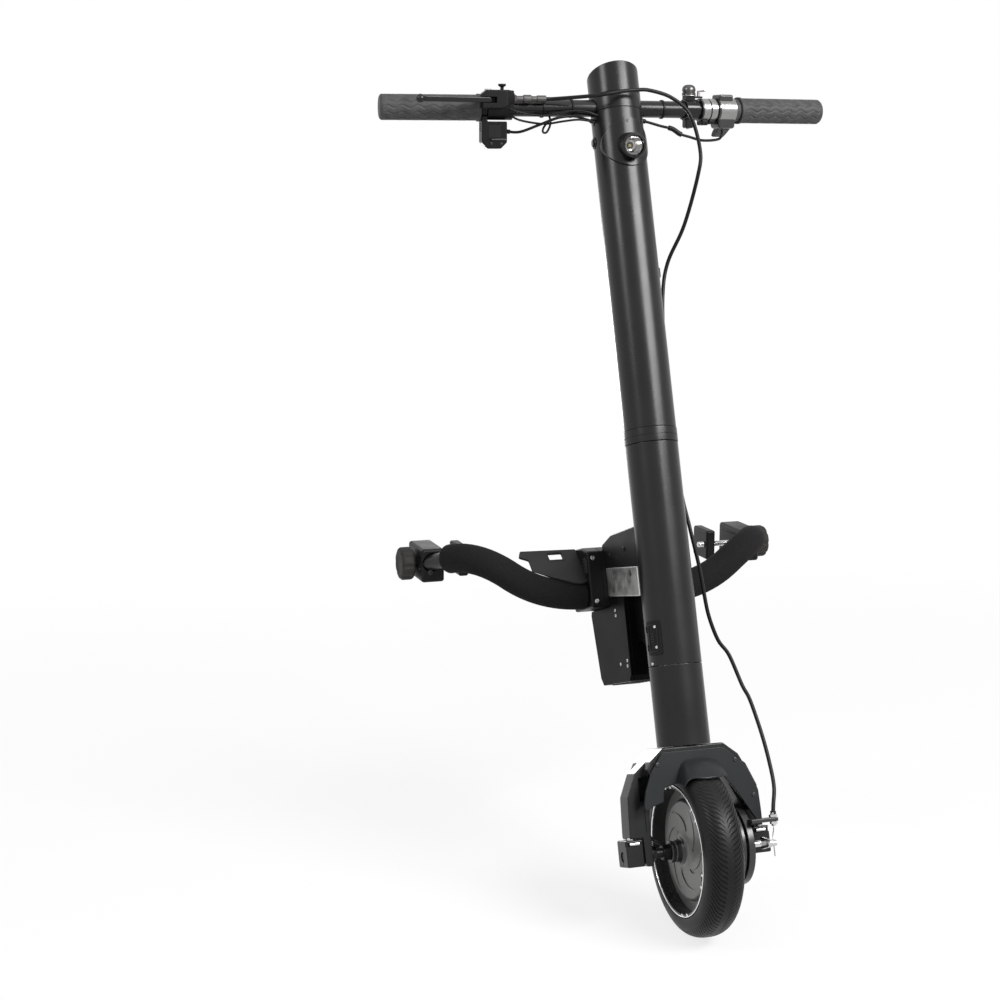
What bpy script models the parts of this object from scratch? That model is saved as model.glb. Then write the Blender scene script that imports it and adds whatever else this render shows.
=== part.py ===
"""Power drive unit that docks to the front of a manual wheelchair.

One driven wheel with a hub motor and a drum brake stands in a short fork. A leaning column with
the battery, lamp, display and handlebar turns in a fixed sleeve. The sleeve carries a dock: an
aluminium block, a padded crossbar and two screw clamps that grip the wheelchair's frame tubes.

Metres, +Z up, the unit faces -Y, and the origin is under the middle of its footprint.
"""
import math

import bmesh
import bpy
from mathutils import Vector

# Driving dimensions
LEAN = math.radians(18.3)
WHEEL_RADIUS = 0.108
ORIGIN_BEHIND_AXLE = 0.1585
COLUMN_RADIUS = 0.0336
COLUMN_STEPS = 36
GAP = 0.0003

# Heights along the steering axis, from the axle
CROWN_TOP = 0.128
SLEEVE_BOTTOM = 0.2293
SLEEVE_TOP = 0.5107
COLLAR_TOP = 0.5295
BAND_BOTTOM = 0.9495
BAR_STATION = 0.9576
BAND_TOP = 0.9715
CAP_MIDDLE = 1.0024
CAP_SLOPE = math.radians(15.2)

# Steering bearings and steerer
STEERER_RADIUS = 0.0213
SLEEVE_BORE = 0.0300
BEARING_HEIGHT = 0.012
STEERER_TOP = 0.549

# Upper column
TUBE_BORE = 0.0309
BATTERY_RADIUS = 0.0300
BATTERY_SPAN = (0.5600, 0.8600)

# Handlebar: 22 mm tube, its ends swept back level
BAR_RADIUS = 0.011
BAR_HALF = 0.3095
BAR_BEND_AT = 0.040
BAR_SWEEP = math.radians(7.05)
GRIP_RADIUS = 0.0165
GRIP_INNER = 0.1820
GRIP_OUTER = 0.3127

# Lamp
LAMP_AT = (0.0, -0.0475, 0.892)
BEZEL_STATION = 0.902
BEZEL_RADIUS = 0.032
LAMP_RADIUS = 0.0165

# Charging port, to the left of the sleeve's front
PORT_ANGLE = math.radians(25.5)
PORT_STATION = 0.264
PORT_HEIGHT = 0.040
PORT_WIDTH = 0.0195
FLAP_LAP = 0.0015
FLAP_THICKNESS = 0.0019

# Fork, widths from the middle
LEG_INNER = 0.061
LEG_OUTER = 0.0893
LEG_DEPTH = 0.028
CROWN_DEPTH = 0.060
DROPOUT_OUTER = 0.0722
CLAMP_BLOCK = (0.0734, 0.0962)
AXLE_RADIUS = 0.006
AXLE_CORE = 0.0098
FAIRING_FRONT = -0.0345

# Wheel, along the axle: - is the cover side, + is the brake side
RIM_HALF = 0.0246
RIM_RADIUS = 0.0815
TYRE_HALF = 0.0249
SHELL_BORE = 0.0775
DRUM_RADIUS = 0.049
DRUM_BORE = 0.043
DRUM_FLOOR = 0.0265
DRUM_EDGE = 0.0485
BACKING_SPAN = (0.0510, 0.0600)
SHOE_SPAN = (0.0290, 0.0460)
SHOE_RADIUS = 0.0422
CAM_FORWARD = 0.0375

# Dock, in the leaning frame of the sleeve
BLOCK_HALF = 0.030
BLOCK_FRONT = 0.020
BLOCK_BACK = 0.1297
BLOCK_BOTTOM = 0.3205
BLOCK_TOP = 0.3585
BLOCK_RISE = 0.096
BAR_BACK = 0.1538
BAR_LEVEL = 0.3379
LATCH_HALF = 0.0545
LATCH_BOTTOM = 0.3180
FOAM_RADIUS = 0.0195
CROSSBAR_RADIUS = 0.011
CROSSBAR_BORE = 0.0125

# Crossbar corners of one half, level frame, measured from under the axle
CROSSBAR_CORNERS = [
    (0.0, 0.2522, 0.3805),
    (0.1141, 0.2522, 0.3805),
    (0.1995, 0.2716, 0.4410),
    (0.2434, 0.3745, 0.4097),
]
FOAM_START = 0.0550
FOAM_END = 0.2320

# Screw clamps for the wheelchair's frame tubes
CLAMP_BACK = 0.390
CLAMP_HEIGHT = 0.4085
CLAMP_OUTER = 0.2505
PAD_OUTER = 0.2185
PAD_INNER = 0.1915
JAW_INNER = 0.1780
KNOB_RADIUS = 0.0225
KNOB_SPAN = (0.2520, 0.2735)
SPINDLE_RADIUS = 0.004

# Cable routes in the leaning frame, as (side, back, station)
BRAKE_CABLE_RADIUS = 0.0025
BRAKE_ROUTE = [
    (-0.0998, -0.0127, 0.9650), (-0.0860, -0.0160, 0.9645), (-0.0400, -0.0395, 0.9610),
    (-0.0100, -0.0450, 0.9645), (0.0140, -0.0450, 0.9670), (0.0320, -0.0450, 0.9665),
    (0.0610, -0.0450, 0.9570), (0.0840, -0.0450, 0.9340), (0.0950, -0.0400, 0.8890),
    (0.0905, -0.0350, 0.8570), (0.0790, 0.0000, 0.8000), (0.0590, 0.0200, 0.7560),
    (0.0480, 0.0220, 0.7150), (0.0390, 0.0150, 0.6500), (0.0366, 0.0120, 0.5600),
    (0.0372, 0.0100, 0.4600), (0.0410, 0.0020, 0.4020), (0.0468, 0.0000, 0.3545),
    (0.0495, 0.0000, 0.3215), (0.0530, 0.0000, 0.2876), (0.0621, 0.0000, 0.2559),
    (0.0741, -0.0020, 0.2357), (0.0847, -0.0080, 0.1964), (0.0915, -0.0120, 0.1766),
    (0.0979, -0.0220, 0.1316), (0.0995, -0.0320, 0.0938), (0.0978, -0.0400, 0.0666),
    (0.0915, -0.0455, 0.0449), (0.0885, -0.0475, 0.0315),
]
THIN_CABLE_RADIUS = 0.0018
THROTTLE_ROUTE = [
    (0.1595, 0.0220, 0.9380), (0.1575, 0.0245, 0.9280), (0.1430, 0.0160, 0.9215),
    (0.1190, 0.0040, 0.9170), (0.1010, 0.0000, 0.9200), (0.0876, 0.0000, 0.9240),
    (0.0770, 0.0000, 0.9310), (0.0620, 0.0000, 0.9345), (0.0480, 0.0000, 0.9385),
    (0.0345, 0.0000, 0.9420),
]
POD_ROUTE = [
    (-0.1467, 0.0210, 0.9330), (-0.1300, 0.0150, 0.9305), (-0.1080, -0.0020, 0.9345),
    (-0.0850, -0.0100, 0.9410), (-0.0620, -0.0080, 0.9440), (-0.0450, -0.0030, 0.9420),
    (-0.0345, 0.0000, 0.9400),
]

# Colours
BLACK = (0.012, 0.012, 0.013)
DARK_GREY = (0.030, 0.030, 0.032)
SOFT_BLACK = (0.016, 0.016, 0.017)
BLUE_BLACK = (0.016, 0.019, 0.026)
STEEL = (0.45, 0.45, 0.46)
ALLOY = (0.16, 0.16, 0.155)
FOAM = (0.020, 0.020, 0.021)
LINING = (0.12, 0.11, 0.10)
COPPER = (0.35, 0.16, 0.06)
BATTERY_BLUE = (0.05, 0.10, 0.25)


def clear_scene():
    """Remove every object and make the two collections."""
    for old in list(bpy.data.objects):
        bpy.data.objects.remove(old, do_unlink=True)
    made = []
    for name in ("wheelchair_drive_unit", "cutters_and_guides"):
        group = bpy.data.collections.new(name)
        bpy.context.scene.collection.children.link(group)
        made.append(group)
    return made


PARTS, GUIDES = clear_scene()


def frame_at(name, parent=None, at=(0, 0, 0), turn=(0, 0, 0)):
    """An empty that carries a group of pieces."""
    empty = bpy.data.objects.new(name, None)
    empty.empty_display_size = 0.05
    empty.parent = parent
    empty.location = at
    empty.rotation_euler = turn
    GUIDES.objects.link(empty)
    return empty


def place(name, data, frame, at=(0, 0, 0), turn=(0, 0, 0)):
    piece = bpy.data.objects.new(name, data)
    piece.parent = frame
    piece.location = at
    piece.rotation_euler = turn
    PARTS.objects.link(piece)
    return piece


def finish(piece, colour, roughness, metallic=0.0):
    """Give a piece its own Principled material."""
    material = bpy.data.materials.new(piece.name)
    material.use_nodes = True
    shader = material.node_tree.nodes["Principled BSDF"]
    shader.inputs["Base Color"].default_value = (*colour, 1.0)
    shader.inputs["Roughness"].default_value = roughness
    shader.inputs["Metallic"].default_value = metallic
    piece.data.materials.append(material)
    return piece


def mesh_from(build, name):
    """Make a mesh with a bmesh recipe."""
    mesh = bpy.data.meshes.new(name)
    bm = bmesh.new()
    build(bm)
    bm.to_mesh(mesh)
    bm.free()
    return mesh


def shade(mesh):
    mesh.shade_smooth()
    mesh.set_sharp_from_angle(angle=math.radians(35))


def block(name, frame, low, high, turn=(0, 0, 0), soften=0.0):
    """A box between two corners, with its edges eased."""
    low = Vector(low)
    high = Vector(high)

    def build(bm):
        bmesh.ops.create_cube(bm, size=1.0)
        bmesh.ops.scale(bm, vec=high - low, verts=bm.verts)

    piece = place(name, mesh_from(build, name), frame, (low + high) / 2, turn)
    if soften:
        ease(piece, soften)
    return piece


def rod(name, frame, radius, start, end, sides=24, soften=0.0):
    """A round bar between two points."""
    start = Vector(start)
    end = Vector(end)
    along = end - start

    def build(bm):
        bmesh.ops.create_cone(
            bm, cap_ends=True, segments=sides, radius1=radius, radius2=radius, depth=along.length
        )

    mesh = mesh_from(build, name)
    shade(mesh)
    turn = along.to_track_quat("Z", "Y").to_euler()
    piece = place(name, mesh, frame, (start + end) / 2, turn)
    if soften:
        ease(piece, soften)
    return piece


def ease(piece, width, segments=2):
    """Round the sharp edges of a piece."""
    bevel = piece.modifiers.new("eased_edges", "BEVEL")
    bevel.width = width
    bevel.segments = segments
    bevel.limit_method = "ANGLE"
    bevel.angle_limit = math.radians(40)
    return bevel


TURNS = {"z": (0, 0, 0), "x": (0, math.pi / 2, 0), "y": (-math.pi / 2, 0, 0)}


def turned(name, frame, profile, along="z", at=(0, 0, 0), turn=None, steps=40):
    """Revolve a profile of (radius, height) points that runs down its outer side.

    A profile that starts and ends on the axis makes a solid, any other closes into a ring.
    """

    def build(bm):
        points = [bm.verts.new((radius, 0, height)) for radius, height in profile]
        for first, second in zip(points, points[1:]):
            bm.edges.new((first, second))
        if profile[0][0] > 0:
            bm.edges.new((points[-1], points[0]))

    piece = place(name, mesh_from(build, name), frame, at, turn or TURNS[along])
    screw = piece.modifiers.new("revolve", "SCREW")
    screw.axis = "Z"
    screw.steps = steps
    screw.render_steps = steps
    screw.use_merge_vertices = True
    screw.merge_threshold = 0.00001
    screw.use_smooth_shade = True
    return piece


def ring(outer, inner, low, high, chamfer=0.0006):
    """Profile of a tube whose outer edges are chamfered."""
    return [
        (outer - chamfer, high), (outer, high - chamfer), (outer, low + chamfer),
        (outer - chamfer, low), (inner, low), (inner, high),
    ]


def plug(radius, low, high, chamfer=0.0006):
    """Profile of a solid round piece."""
    return [
        (0, high), (radius - chamfer, high), (radius, high - chamfer),
        (radius, low + chamfer), (radius - chamfer, low), (0, low),
    ]


def as_mesh(curve_piece):
    """Swap a curve for the closed mesh of it."""
    name = curve_piece.name
    bpy.context.view_layer.update()
    evaluated = curve_piece.evaluated_get(bpy.context.evaluated_depsgraph_get())
    mesh = bpy.data.meshes.new_from_object(evaluated)
    bm = bmesh.new()
    bm.from_mesh(mesh)
    bmesh.ops.remove_doubles(bm, verts=bm.verts, dist=0.00001)
    bm.to_mesh(mesh)
    bm.free()
    shade(mesh)
    parent = curve_piece.parent
    at = curve_piece.location.copy()
    turn = curve_piece.rotation_euler.copy()
    bpy.data.objects.remove(curve_piece, do_unlink=True)
    return place(name, mesh, parent, at, turn)


def plate(name, frame, outline, low, high, plane="xz"):
    """Cut a flat outline to a thickness between low and high.

    Plane "xz" stands across the unit with its thickness along y, "yz" stands along it with its
    thickness along x, and "xy" lies flat.
    """
    middle = (low + high) / 2
    placings = {
        "xy": ((0, 0, middle), (0, 0, 0)),
        "xz": ((0, middle, 0), (math.pi / 2, 0, 0)),
        "yz": ((middle, 0, 0), (math.pi / 2, 0, math.pi / 2)),
    }
    at, turn = placings[plane]
    curve = bpy.data.curves.new(name, "CURVE")
    curve.dimensions = "2D"
    curve.fill_mode = "BOTH"
    curve.extrude = (high - low) / 2
    spline = curve.splines.new("POLY")
    spline.points.add(len(outline) - 1)
    for point, (across, up) in zip(spline.points, outline):
        point.co = (across, up, 0, 1)
    spline.use_cyclic_u = True
    return as_mesh(place(name, curve, frame, at, turn))


def tube(name, frame, points, radius, resolution=3):
    """A round tube or cable through the points."""
    curve = bpy.data.curves.new(name, "CURVE")
    curve.dimensions = "3D"
    curve.bevel_depth = radius
    curve.bevel_resolution = resolution
    curve.use_fill_caps = True
    spline = curve.splines.new("POLY")
    spline.points.add(len(points) - 1)
    for point, spot in zip(spline.points, points):
        point.co = (*spot, 1)
    return place(name, curve, frame)


def as_tool(piece):
    """Move a piece among the cutters."""
    PARTS.objects.unlink(piece)
    GUIDES.objects.link(piece)
    piece.hide_render = True
    piece.display_type = "WIRE"
    return piece


def combine(piece, tool, operation):
    change = piece.modifiers.new(operation.lower(), "BOOLEAN")
    change.operation = operation
    change.object = as_tool(tool)
    return piece


def cut(piece, tool):
    return combine(piece, tool, "DIFFERENCE")


def join(piece, tool):
    return combine(piece, tool, "UNION")


def bent_route(corners, steps=5):
    """Points of a line that rounds each corner from the middle of one side to the next."""
    corners = [Vector(corner) for corner in corners]
    points = [corners[0]]
    for before, corner, after in zip(corners, corners[1:], corners[2:]):
        start = (before + corner) / 2
        end = (corner + after) / 2
        for step in range(steps + 1):
            t = step / steps
            spot = start * (1 - t) ** 2 + corner * 2 * t * (1 - t) + end * t ** 2
            if (spot - points[-1]).length > 0.001:
                points.append(spot)
    points.append(corners[-1])
    return points


def smooth_route(stops, spacing):
    """Points every spacing along a smooth curve through the stops."""
    stops = [Vector(stop) for stop in stops]
    ends = [stops[0] * 2 - stops[1]] + stops + [stops[-1] * 2 - stops[-2]]
    fine = []
    for a, b, c, d in zip(ends, ends[1:], ends[2:], ends[3:]):
        for step in range(20):
            t = step / 20
            fine.append(
                0.5 * (
                    2 * b + (c - a) * t + (2 * a - 5 * b + 4 * c - d) * t ** 2
                    + (3 * b - a - 3 * c + d) * t ** 3
                )
            )
    fine.append(stops[-1])
    total = sum((q - p).length for p, q in zip(fine, fine[1:]))
    count = max(2, round(total / spacing))
    points = [fine[0]]
    walked = 0.0
    for p, q in zip(fine, fine[1:]):
        walked += (q - p).length
        if walked >= total / count * len(points) and len(points) < count:
            points.append(q)
    points.append(fine[-1])
    return points


def arc(centre, radius, start, end, steps):
    """Points of an arc, angles in degrees."""
    turns = [math.radians(start + (end - start) * step / steps) for step in range(steps + 1)]
    return [(centre[0] + radius * math.cos(a), centre[1] + radius * math.sin(a)) for a in turns]


# Frames: the axle, the leaning steering axis, the level dock and the swept handlebar
AXLE = frame_at("axle_line", at=(0, -ORIGIN_BEHIND_AXLE, WHEEL_RADIUS))
STEER = frame_at("steering_axis", AXLE, turn=(-LEAN, 0, 0))
DOCK = frame_at("dock_frame", at=(0, -ORIGIN_BEHIND_AXLE, 0))
LEVEL = frame_at("handlebar_middle", STEER, (0, 0, BAR_STATION), (LEAN, 0, 0))
BEND_SHIFT = BAR_BEND_AT * (1 - math.cos(BAR_SWEEP))
BEND_DROP = -BAR_BEND_AT * math.sin(BAR_SWEEP)
LEFT_BAR = frame_at("left_bar", LEVEL, (-BEND_SHIFT, BEND_DROP, 0), (0, 0, -BAR_SWEEP))
RIGHT_BAR = frame_at("right_bar", LEVEL, (BEND_SHIFT, BEND_DROP, 0), (0, 0, BAR_SWEEP))
LAMP = frame_at("lamp_axis", STEER, LAMP_AT, (math.pi / 2 + LEAN, 0, 0))


# Fixed sleeve and its bearings

def port_spot(radius, station=PORT_STATION):
    """A place on the charging port's centre line, at a distance from the steering axis."""
    return (-radius * math.cos(PORT_ANGLE), -radius * math.sin(PORT_ANGLE), station)


def port_box(name, depth_from, depth_to, width, height):
    """A box that faces out through the charging port."""
    low = Vector((depth_from, -width / 2, -height / 2))
    high = Vector((depth_to, width / 2, height / 2))
    facing = (0, 0, math.pi + PORT_ANGLE)
    port_frame = frame_at(name + "_frame", STEER, (0, 0, PORT_STATION), facing)
    return block(name, port_frame, low, high)


def steering_sleeve():
    sleeve = turned(
        "steering_sleeve", STEER, ring(COLUMN_RADIUS, SLEEVE_BORE, SLEEVE_BOTTOM, SLEEVE_TOP),
        steps=COLUMN_STEPS
    )
    cut(sleeve, port_box("port_window", 0.022, 0.045, PORT_WIDTH, PORT_HEIGHT))
    finish(sleeve, BLACK, 0.38, 0.3)


def steering_bearings():
    inner = STEERER_RADIUS + GAP
    outer = SLEEVE_BORE - GAP
    shield = 0.0012
    top = SLEEVE_TOP - 0.0015 - BEARING_HEIGHT
    for name, low in (("lower_bearing", SLEEVE_BOTTOM + 0.0007), ("upper_bearing", top)):
        high = low + BEARING_HEIGHT
        profile = [
            (outer, high), (outer, low), (inner + shield, low + shield), (inner, low + shield),
            (inner, high - shield), (inner + shield, high - shield),
        ]
        finish(turned(name, STEER, profile, steps=20), STEEL, 0.3, 1.0)


def charging_port():
    """Socket in the sleeve's window and the hinged cover over it."""
    socket = port_box("charge_socket", 0.0235, 0.0300, PORT_WIDTH - 2 * GAP, PORT_HEIGHT - 2 * GAP)
    join(socket, rod("socket_collar", STEER, 0.0072, port_spot(0.028), port_spot(0.0325)))
    cut(socket, rod("socket_bore", STEER, 0.0052, port_spot(0.0262), port_spot(0.040)))
    finish(socket, SOFT_BLACK, 0.6)
    low = -PORT_HEIGHT / 2 - FLAP_LAP
    outside = COLUMN_RADIUS + FLAP_THICKNESS
    width = PORT_WIDTH + 2 * FLAP_LAP
    hinge_angle = PORT_ANGLE - math.asin(width / 2 / (COLUMN_RADIUS + FLAP_THICKNESS / 2))
    hinge = Vector((-outside * math.cos(hinge_angle), -outside * math.sin(hinge_angle), 0))
    flap_hinge = frame_at("charge_flap_hinge", STEER, hinge + Vector((0, 0, PORT_STATION)))
    flap = turned(
        "charge_flap", flap_hinge, ring(outside, COLUMN_RADIUS + GAP, low, -low, 0.0005),
        at=-hinge, steps=72
    )
    combine(flap, port_box("flap_edge", 0.020, 0.045, width, PORT_HEIGHT + 0.006), "INTERSECT")
    finish(flap, SOFT_BLACK, 0.55)


# Dock between the sleeve and the crossbar

def sleeve_clearance(name, low, high):
    return rod(name, STEER, COLUMN_RADIUS + GAP, (0, 0, low), (0, 0, high), sides=64)


def block_level(level, back):
    """Height of the sloping block's top or bottom at a distance behind the steering axis."""
    return level + BLOCK_RISE * (back - BLOCK_FRONT)


def dock_block():
    side = [
        (BLOCK_FRONT, BLOCK_BOTTOM), (BLOCK_FRONT, BLOCK_TOP),
        (BLOCK_BACK, block_level(BLOCK_TOP, BLOCK_BACK)),
        (BLOCK_BACK, block_level(BLOCK_BOTTOM, BLOCK_BACK)),
    ]
    piece = plate("dock_block", STEER, side, -BLOCK_HALF, BLOCK_HALF, "yz")
    ease(piece, 0.0012)
    cut(piece, sleeve_clearance("block_saddle", 0.3, 0.4))
    finish(piece, ALLOY, 0.5, 0.6)


def latch_housing():
    """Dark cover over the block, and the wide latch behind it that grips the crossbar."""
    front = 0.015
    back = 0.140
    side = [
        (front, block_level(BLOCK_TOP, front) + GAP), (front, 0.410), (0.105, 0.410),
        (back, 0.4015), (back, block_level(BLOCK_TOP, back) + GAP),
    ]
    housing = plate("latch_housing", STEER, side, -0.029, 0.029, "yz")
    ease(housing, 0.0015, 1)
    latch_front = BLOCK_BACK + GAP
    side = [
        (latch_front, LATCH_BOTTOM), (latch_front, 0.3925), (0.1520, 0.4000), (0.1980, 0.4020),
        (0.1980, LATCH_BOTTOM),
    ]
    latch = plate("crossbar_latch", STEER, side, -LATCH_HALF, LATCH_HALF, "yz")
    ease(latch, 0.0020, 1)
    join(housing, latch)
    cut(housing, sleeve_clearance("housing_saddle", 0.34, 0.44))
    bore_ends = (0.07, BAR_BACK, BAR_LEVEL)
    bore = rod(
        "crossbar_bore", STEER, CROSSBAR_BORE, (-bore_ends[0], *bore_ends[1:]), bore_ends, 32
    )
    cut(housing, bore)
    finish(housing, SOFT_BLACK, 0.55)


def docking_plate():
    """Slotted wing that lies on the left foam beside the latch."""
    slope = math.radians(33.5)
    front = Vector((0, 0.2414, 0.3988))
    wing_frame = frame_at("wing_frame", DOCK, front, (slope, 0, 0))
    inner = -LATCH_HALF - GAP
    plan = [
        (inner, 0.0), (inner, 0.0605), (-0.1330, 0.0625), (-0.1370, 0.0520), (-0.1250, 0.0455),
        (-0.1250, 0.0240), (-0.1000, 0.0110), (-0.0760, 0.0), (-0.0650, -0.0025),
    ]
    wing = plate("docking_plate", wing_frame, plan, 0.0, 0.0038, "xy")
    slot = block("wing_slot", wing_frame, (-0.0965, 0.0425, -0.01), (-0.0765, 0.0555, 0.01))
    cut(wing, slot)
    ease(wing, 0.0006, 1)
    bed = as_mesh(tube("wing_bed", DOCK, crossbar_points(), FOAM_RADIUS + 0.0006, 6))
    cut(wing, bed)
    finish(wing, SOFT_BLACK, 0.5)


def controller_box():
    """Motor controller hung under the block."""
    front = 0.077
    back = BLOCK_BACK
    under_latch = LATCH_BOTTOM - GAP
    side = [
        (front, block_level(BLOCK_BOTTOM, front) - GAP), (front, 0.224), (0.085, 0.216),
        (0.182, 0.216), (0.190, 0.226), (0.2035, 0.312), (0.2010, under_latch),
        (back, under_latch), (back, block_level(BLOCK_BOTTOM, back) - GAP),
    ]
    box = plate("controller_box", STEER, side, -BLOCK_HALF, BLOCK_HALF, "yz")
    ease(box, 0.0025, 1)
    join(box, support_gusset())
    finish(box, BLACK, 0.45)


def support_gusset():
    """Web from the controller's front to the lower end of the sleeve."""
    front = 0.026
    back = 0.090
    side = [(front, block_level(BLOCK_BOTTOM, front) - GAP), (front, 0.233), (0.038, 0.233)]
    side += arc((0.0767, 0.233), 0.034, 170, 100, 6)
    side += [(back, 0.268), (back, block_level(BLOCK_BOTTOM, back) - GAP)]
    gusset = plate("support_gusset", STEER, side, -0.016, 0.016, "yz")
    cut(gusset, sleeve_clearance("gusset_saddle", 0.2, 0.36))
    return gusset


def crossbar_points():
    """The crossbar's route from its left end to its right end."""
    half = bent_route(CROSSBAR_CORNERS)
    left = [Vector((-spot.x, spot.y, spot.z)) for spot in reversed(half[1:])]
    return left + half


def crossbar():
    finish(tube("crossbar", DOCK, crossbar_points(), CROSSBAR_RADIUS, 2), BLACK, 0.4, 0.5)


def trimmed(points, start, end):
    """The stretch of a route whose distance to the side is between start and end."""
    kept = [spot for spot in points if start <= abs(spot.x) <= end]
    first = Vector((math.copysign(start, kept[0].x), kept[0].y, kept[0].z))
    return [first] + kept if abs(first.x - kept[0].x) > 0.002 else kept


def foam_sleeves():
    half = bent_route(CROSSBAR_CORNERS)
    for name, side in (("foam_left", -1), ("foam_right", 1)):
        covered = trimmed(half, FOAM_START, FOAM_END)
        route = [Vector((side * spot.x, spot.y, spot.z)) for spot in covered]
        whole = [Vector((side * spot.x, spot.y, spot.z)) for spot in half]
        foam = as_mesh(tube(name, DOCK, route, FOAM_RADIUS, 3))
        cut(foam, as_mesh(tube(name + "_bore", DOCK, whole, CROSSBAR_BORE, 2)))
        finish(foam, FOAM, 0.9)


def screw_clamps():
    """Fixed jaw, sliding jaw and hand screw at each end of the crossbar."""
    for name, side in (("left", -1), ("right", 1)):
        spots = [side * CLAMP_OUTER, side * PAD_OUTER]
        body = block(
            "clamp_body_" + name, DOCK, (min(spots), 0.3560, 0.3870), (max(spots), 0.4250, 0.4330),
            soften=0.003
        )
        half = bent_route(CROSSBAR_CORNERS)
        socket = [Vector((side * spot.x, spot.y, spot.z)) for spot in half[-4:]]
        beyond = socket[-1] + (socket[-1] - socket[-2]).normalized() * GAP
        cut(body, as_mesh(tube("bar_socket_" + name, DOCK, socket[:-1] + [beyond], CROSSBAR_BORE)))
        reach = (side * 0.30, CLAMP_BACK, CLAMP_HEIGHT)
        root = (side * 0.16, CLAMP_BACK, CLAMP_HEIGHT)
        cut(body, rod("spindle_bore_" + name, DOCK, SPINDLE_RADIUS + GAP, root, reach))
        finish(body, SOFT_BLACK, 0.45)

        spots = [side * PAD_INNER, side * JAW_INNER]
        jaw = block(
            "clamp_jaw_" + name, DOCK, (min(spots), 0.3770, 0.3880), (max(spots), 0.4250, 0.4300),
            soften=0.0025
        )
        cut(jaw, rod("jaw_bore_" + name, DOCK, SPINDLE_RADIUS + GAP, root, reach))
        finish(jaw, SOFT_BLACK, 0.5)

        knob_frame = frame_at("clamp_screw_" + name, DOCK, (0, CLAMP_BACK, CLAMP_HEIGHT))
        inner, outer = KNOB_SPAN
        tip = 0.1700
        profile = [
            (0, outer), (0.016, outer), (0.020, outer - 0.001), (KNOB_RADIUS, outer - 0.004),
            (KNOB_RADIUS, inner + 0.006), (0.019, inner + 0.002), (0.011, inner),
            (SPINDLE_RADIUS, inner), (SPINDLE_RADIUS, tip), (0, tip),
        ]
        turn = TURNS["x"] if side > 0 else (0, -math.pi / 2, 0)
        knob = turned("clamp_knob_" + name, knob_frame, profile, turn=turn, steps=20)
        finish(knob, DARK_GREY, 0.7)


# Column that turns in the sleeve

def steerer():
    profile = ring(STEERER_RADIUS, 0.0180, CROWN_TOP + GAP, STEERER_TOP, 0.001)
    finish(turned("steerer_tube", STEER, profile, steps=24), STEEL, 0.35, 1.0)


def lower_tube():
    profile = ring(COLUMN_RADIUS, STEERER_RADIUS + GAP, CROWN_TOP + GAP, SLEEVE_BOTTOM - 0.0006)
    finish(turned("lower_tube", STEER, profile, steps=COLUMN_STEPS), BLACK, 0.38, 0.3)


def collar():
    """Clamp ring that holds the upper column on the steerer."""
    profile = ring(COLUMN_RADIUS + 0.0005, STEERER_RADIUS + GAP, SLEEVE_TOP + 0.0006, COLLAR_TOP)
    finish(turned("collar", STEER, profile, steps=COLUMN_STEPS), BLACK, 0.3, 0.4)


def upper_tube():
    tube_body = turned(
        "upper_tube", STEER, ring(COLUMN_RADIUS, TUBE_BORE, COLLAR_TOP + GAP, BAND_BOTTOM),
        steps=COLUMN_STEPS
    )
    cut(tube_body, bar_clearance("bar_notch"))
    lamp_hole = rod("lamp_hole", LAMP, LAMP_RADIUS + GAP, (0, 0, -0.030), (0, 0, 0.010), 28)
    cut(tube_body, lamp_hole)
    cut(tube_body, rod("button_hole", STEER, 0.0053, button_spot(0.025), button_spot(0.040)))
    finish(tube_body, BLACK, 0.38, 0.3)


def battery_pack():
    pack = turned("battery_pack", STEER, plug(BATTERY_RADIUS, *BATTERY_SPAN, 0.002), steps=20)
    finish(pack, BATTERY_BLUE, 0.5)


def bar_clearance(name):
    return rod(
        name, STEER, BAR_RADIUS + 0.0008, (-0.045, 0, BAR_STATION), (0.045, 0, BAR_STATION), 24
    )


def stem_band():
    """Stem that holds the handlebar, its foot plugged into the upper tube."""
    foot_radius = TUBE_BORE - GAP
    low = BAND_BOTTOM + GAP
    high = BAND_TOP - GAP
    profile = [
        (0, high), (COLUMN_RADIUS - 0.0006, high), (COLUMN_RADIUS, high - 0.0006),
        (COLUMN_RADIUS, low + 0.0006), (COLUMN_RADIUS - 0.0006, low), (foot_radius, low),
        (foot_radius, 0.926), (0, 0.926),
    ]
    stem = turned("stem_band", STEER, profile, steps=COLUMN_STEPS)
    cut(stem, bar_clearance("stem_bore"))
    finish(stem, BLACK, 0.35, 0.3)


def top_cap():
    """Slanted cap and the round display glass let into it."""
    cap = turned("top_cap", STEER, plug(COLUMN_RADIUS, BAND_TOP, 1.030), steps=COLUMN_STEPS)
    slant = frame_at("display_plane", STEER, (0, 0, CAP_MIDDLE), (-CAP_SLOPE, 0, 0))
    cut(cap, block("slant_cut", slant, (-0.06, -0.06, 0), (0.06, 0.06, 0.06)))
    cut(cap, rod("display_pocket", slant, 0.0285, (0, 0, -0.0020), (0, 0, 0.01), 32))
    finish(cap, BLACK, 0.38, 0.3)
    glass = turned("display_glass", slant, plug(0.0281, -0.0017, -0.0004), steps=28)
    finish(glass, BLACK, 0.1)


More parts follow.
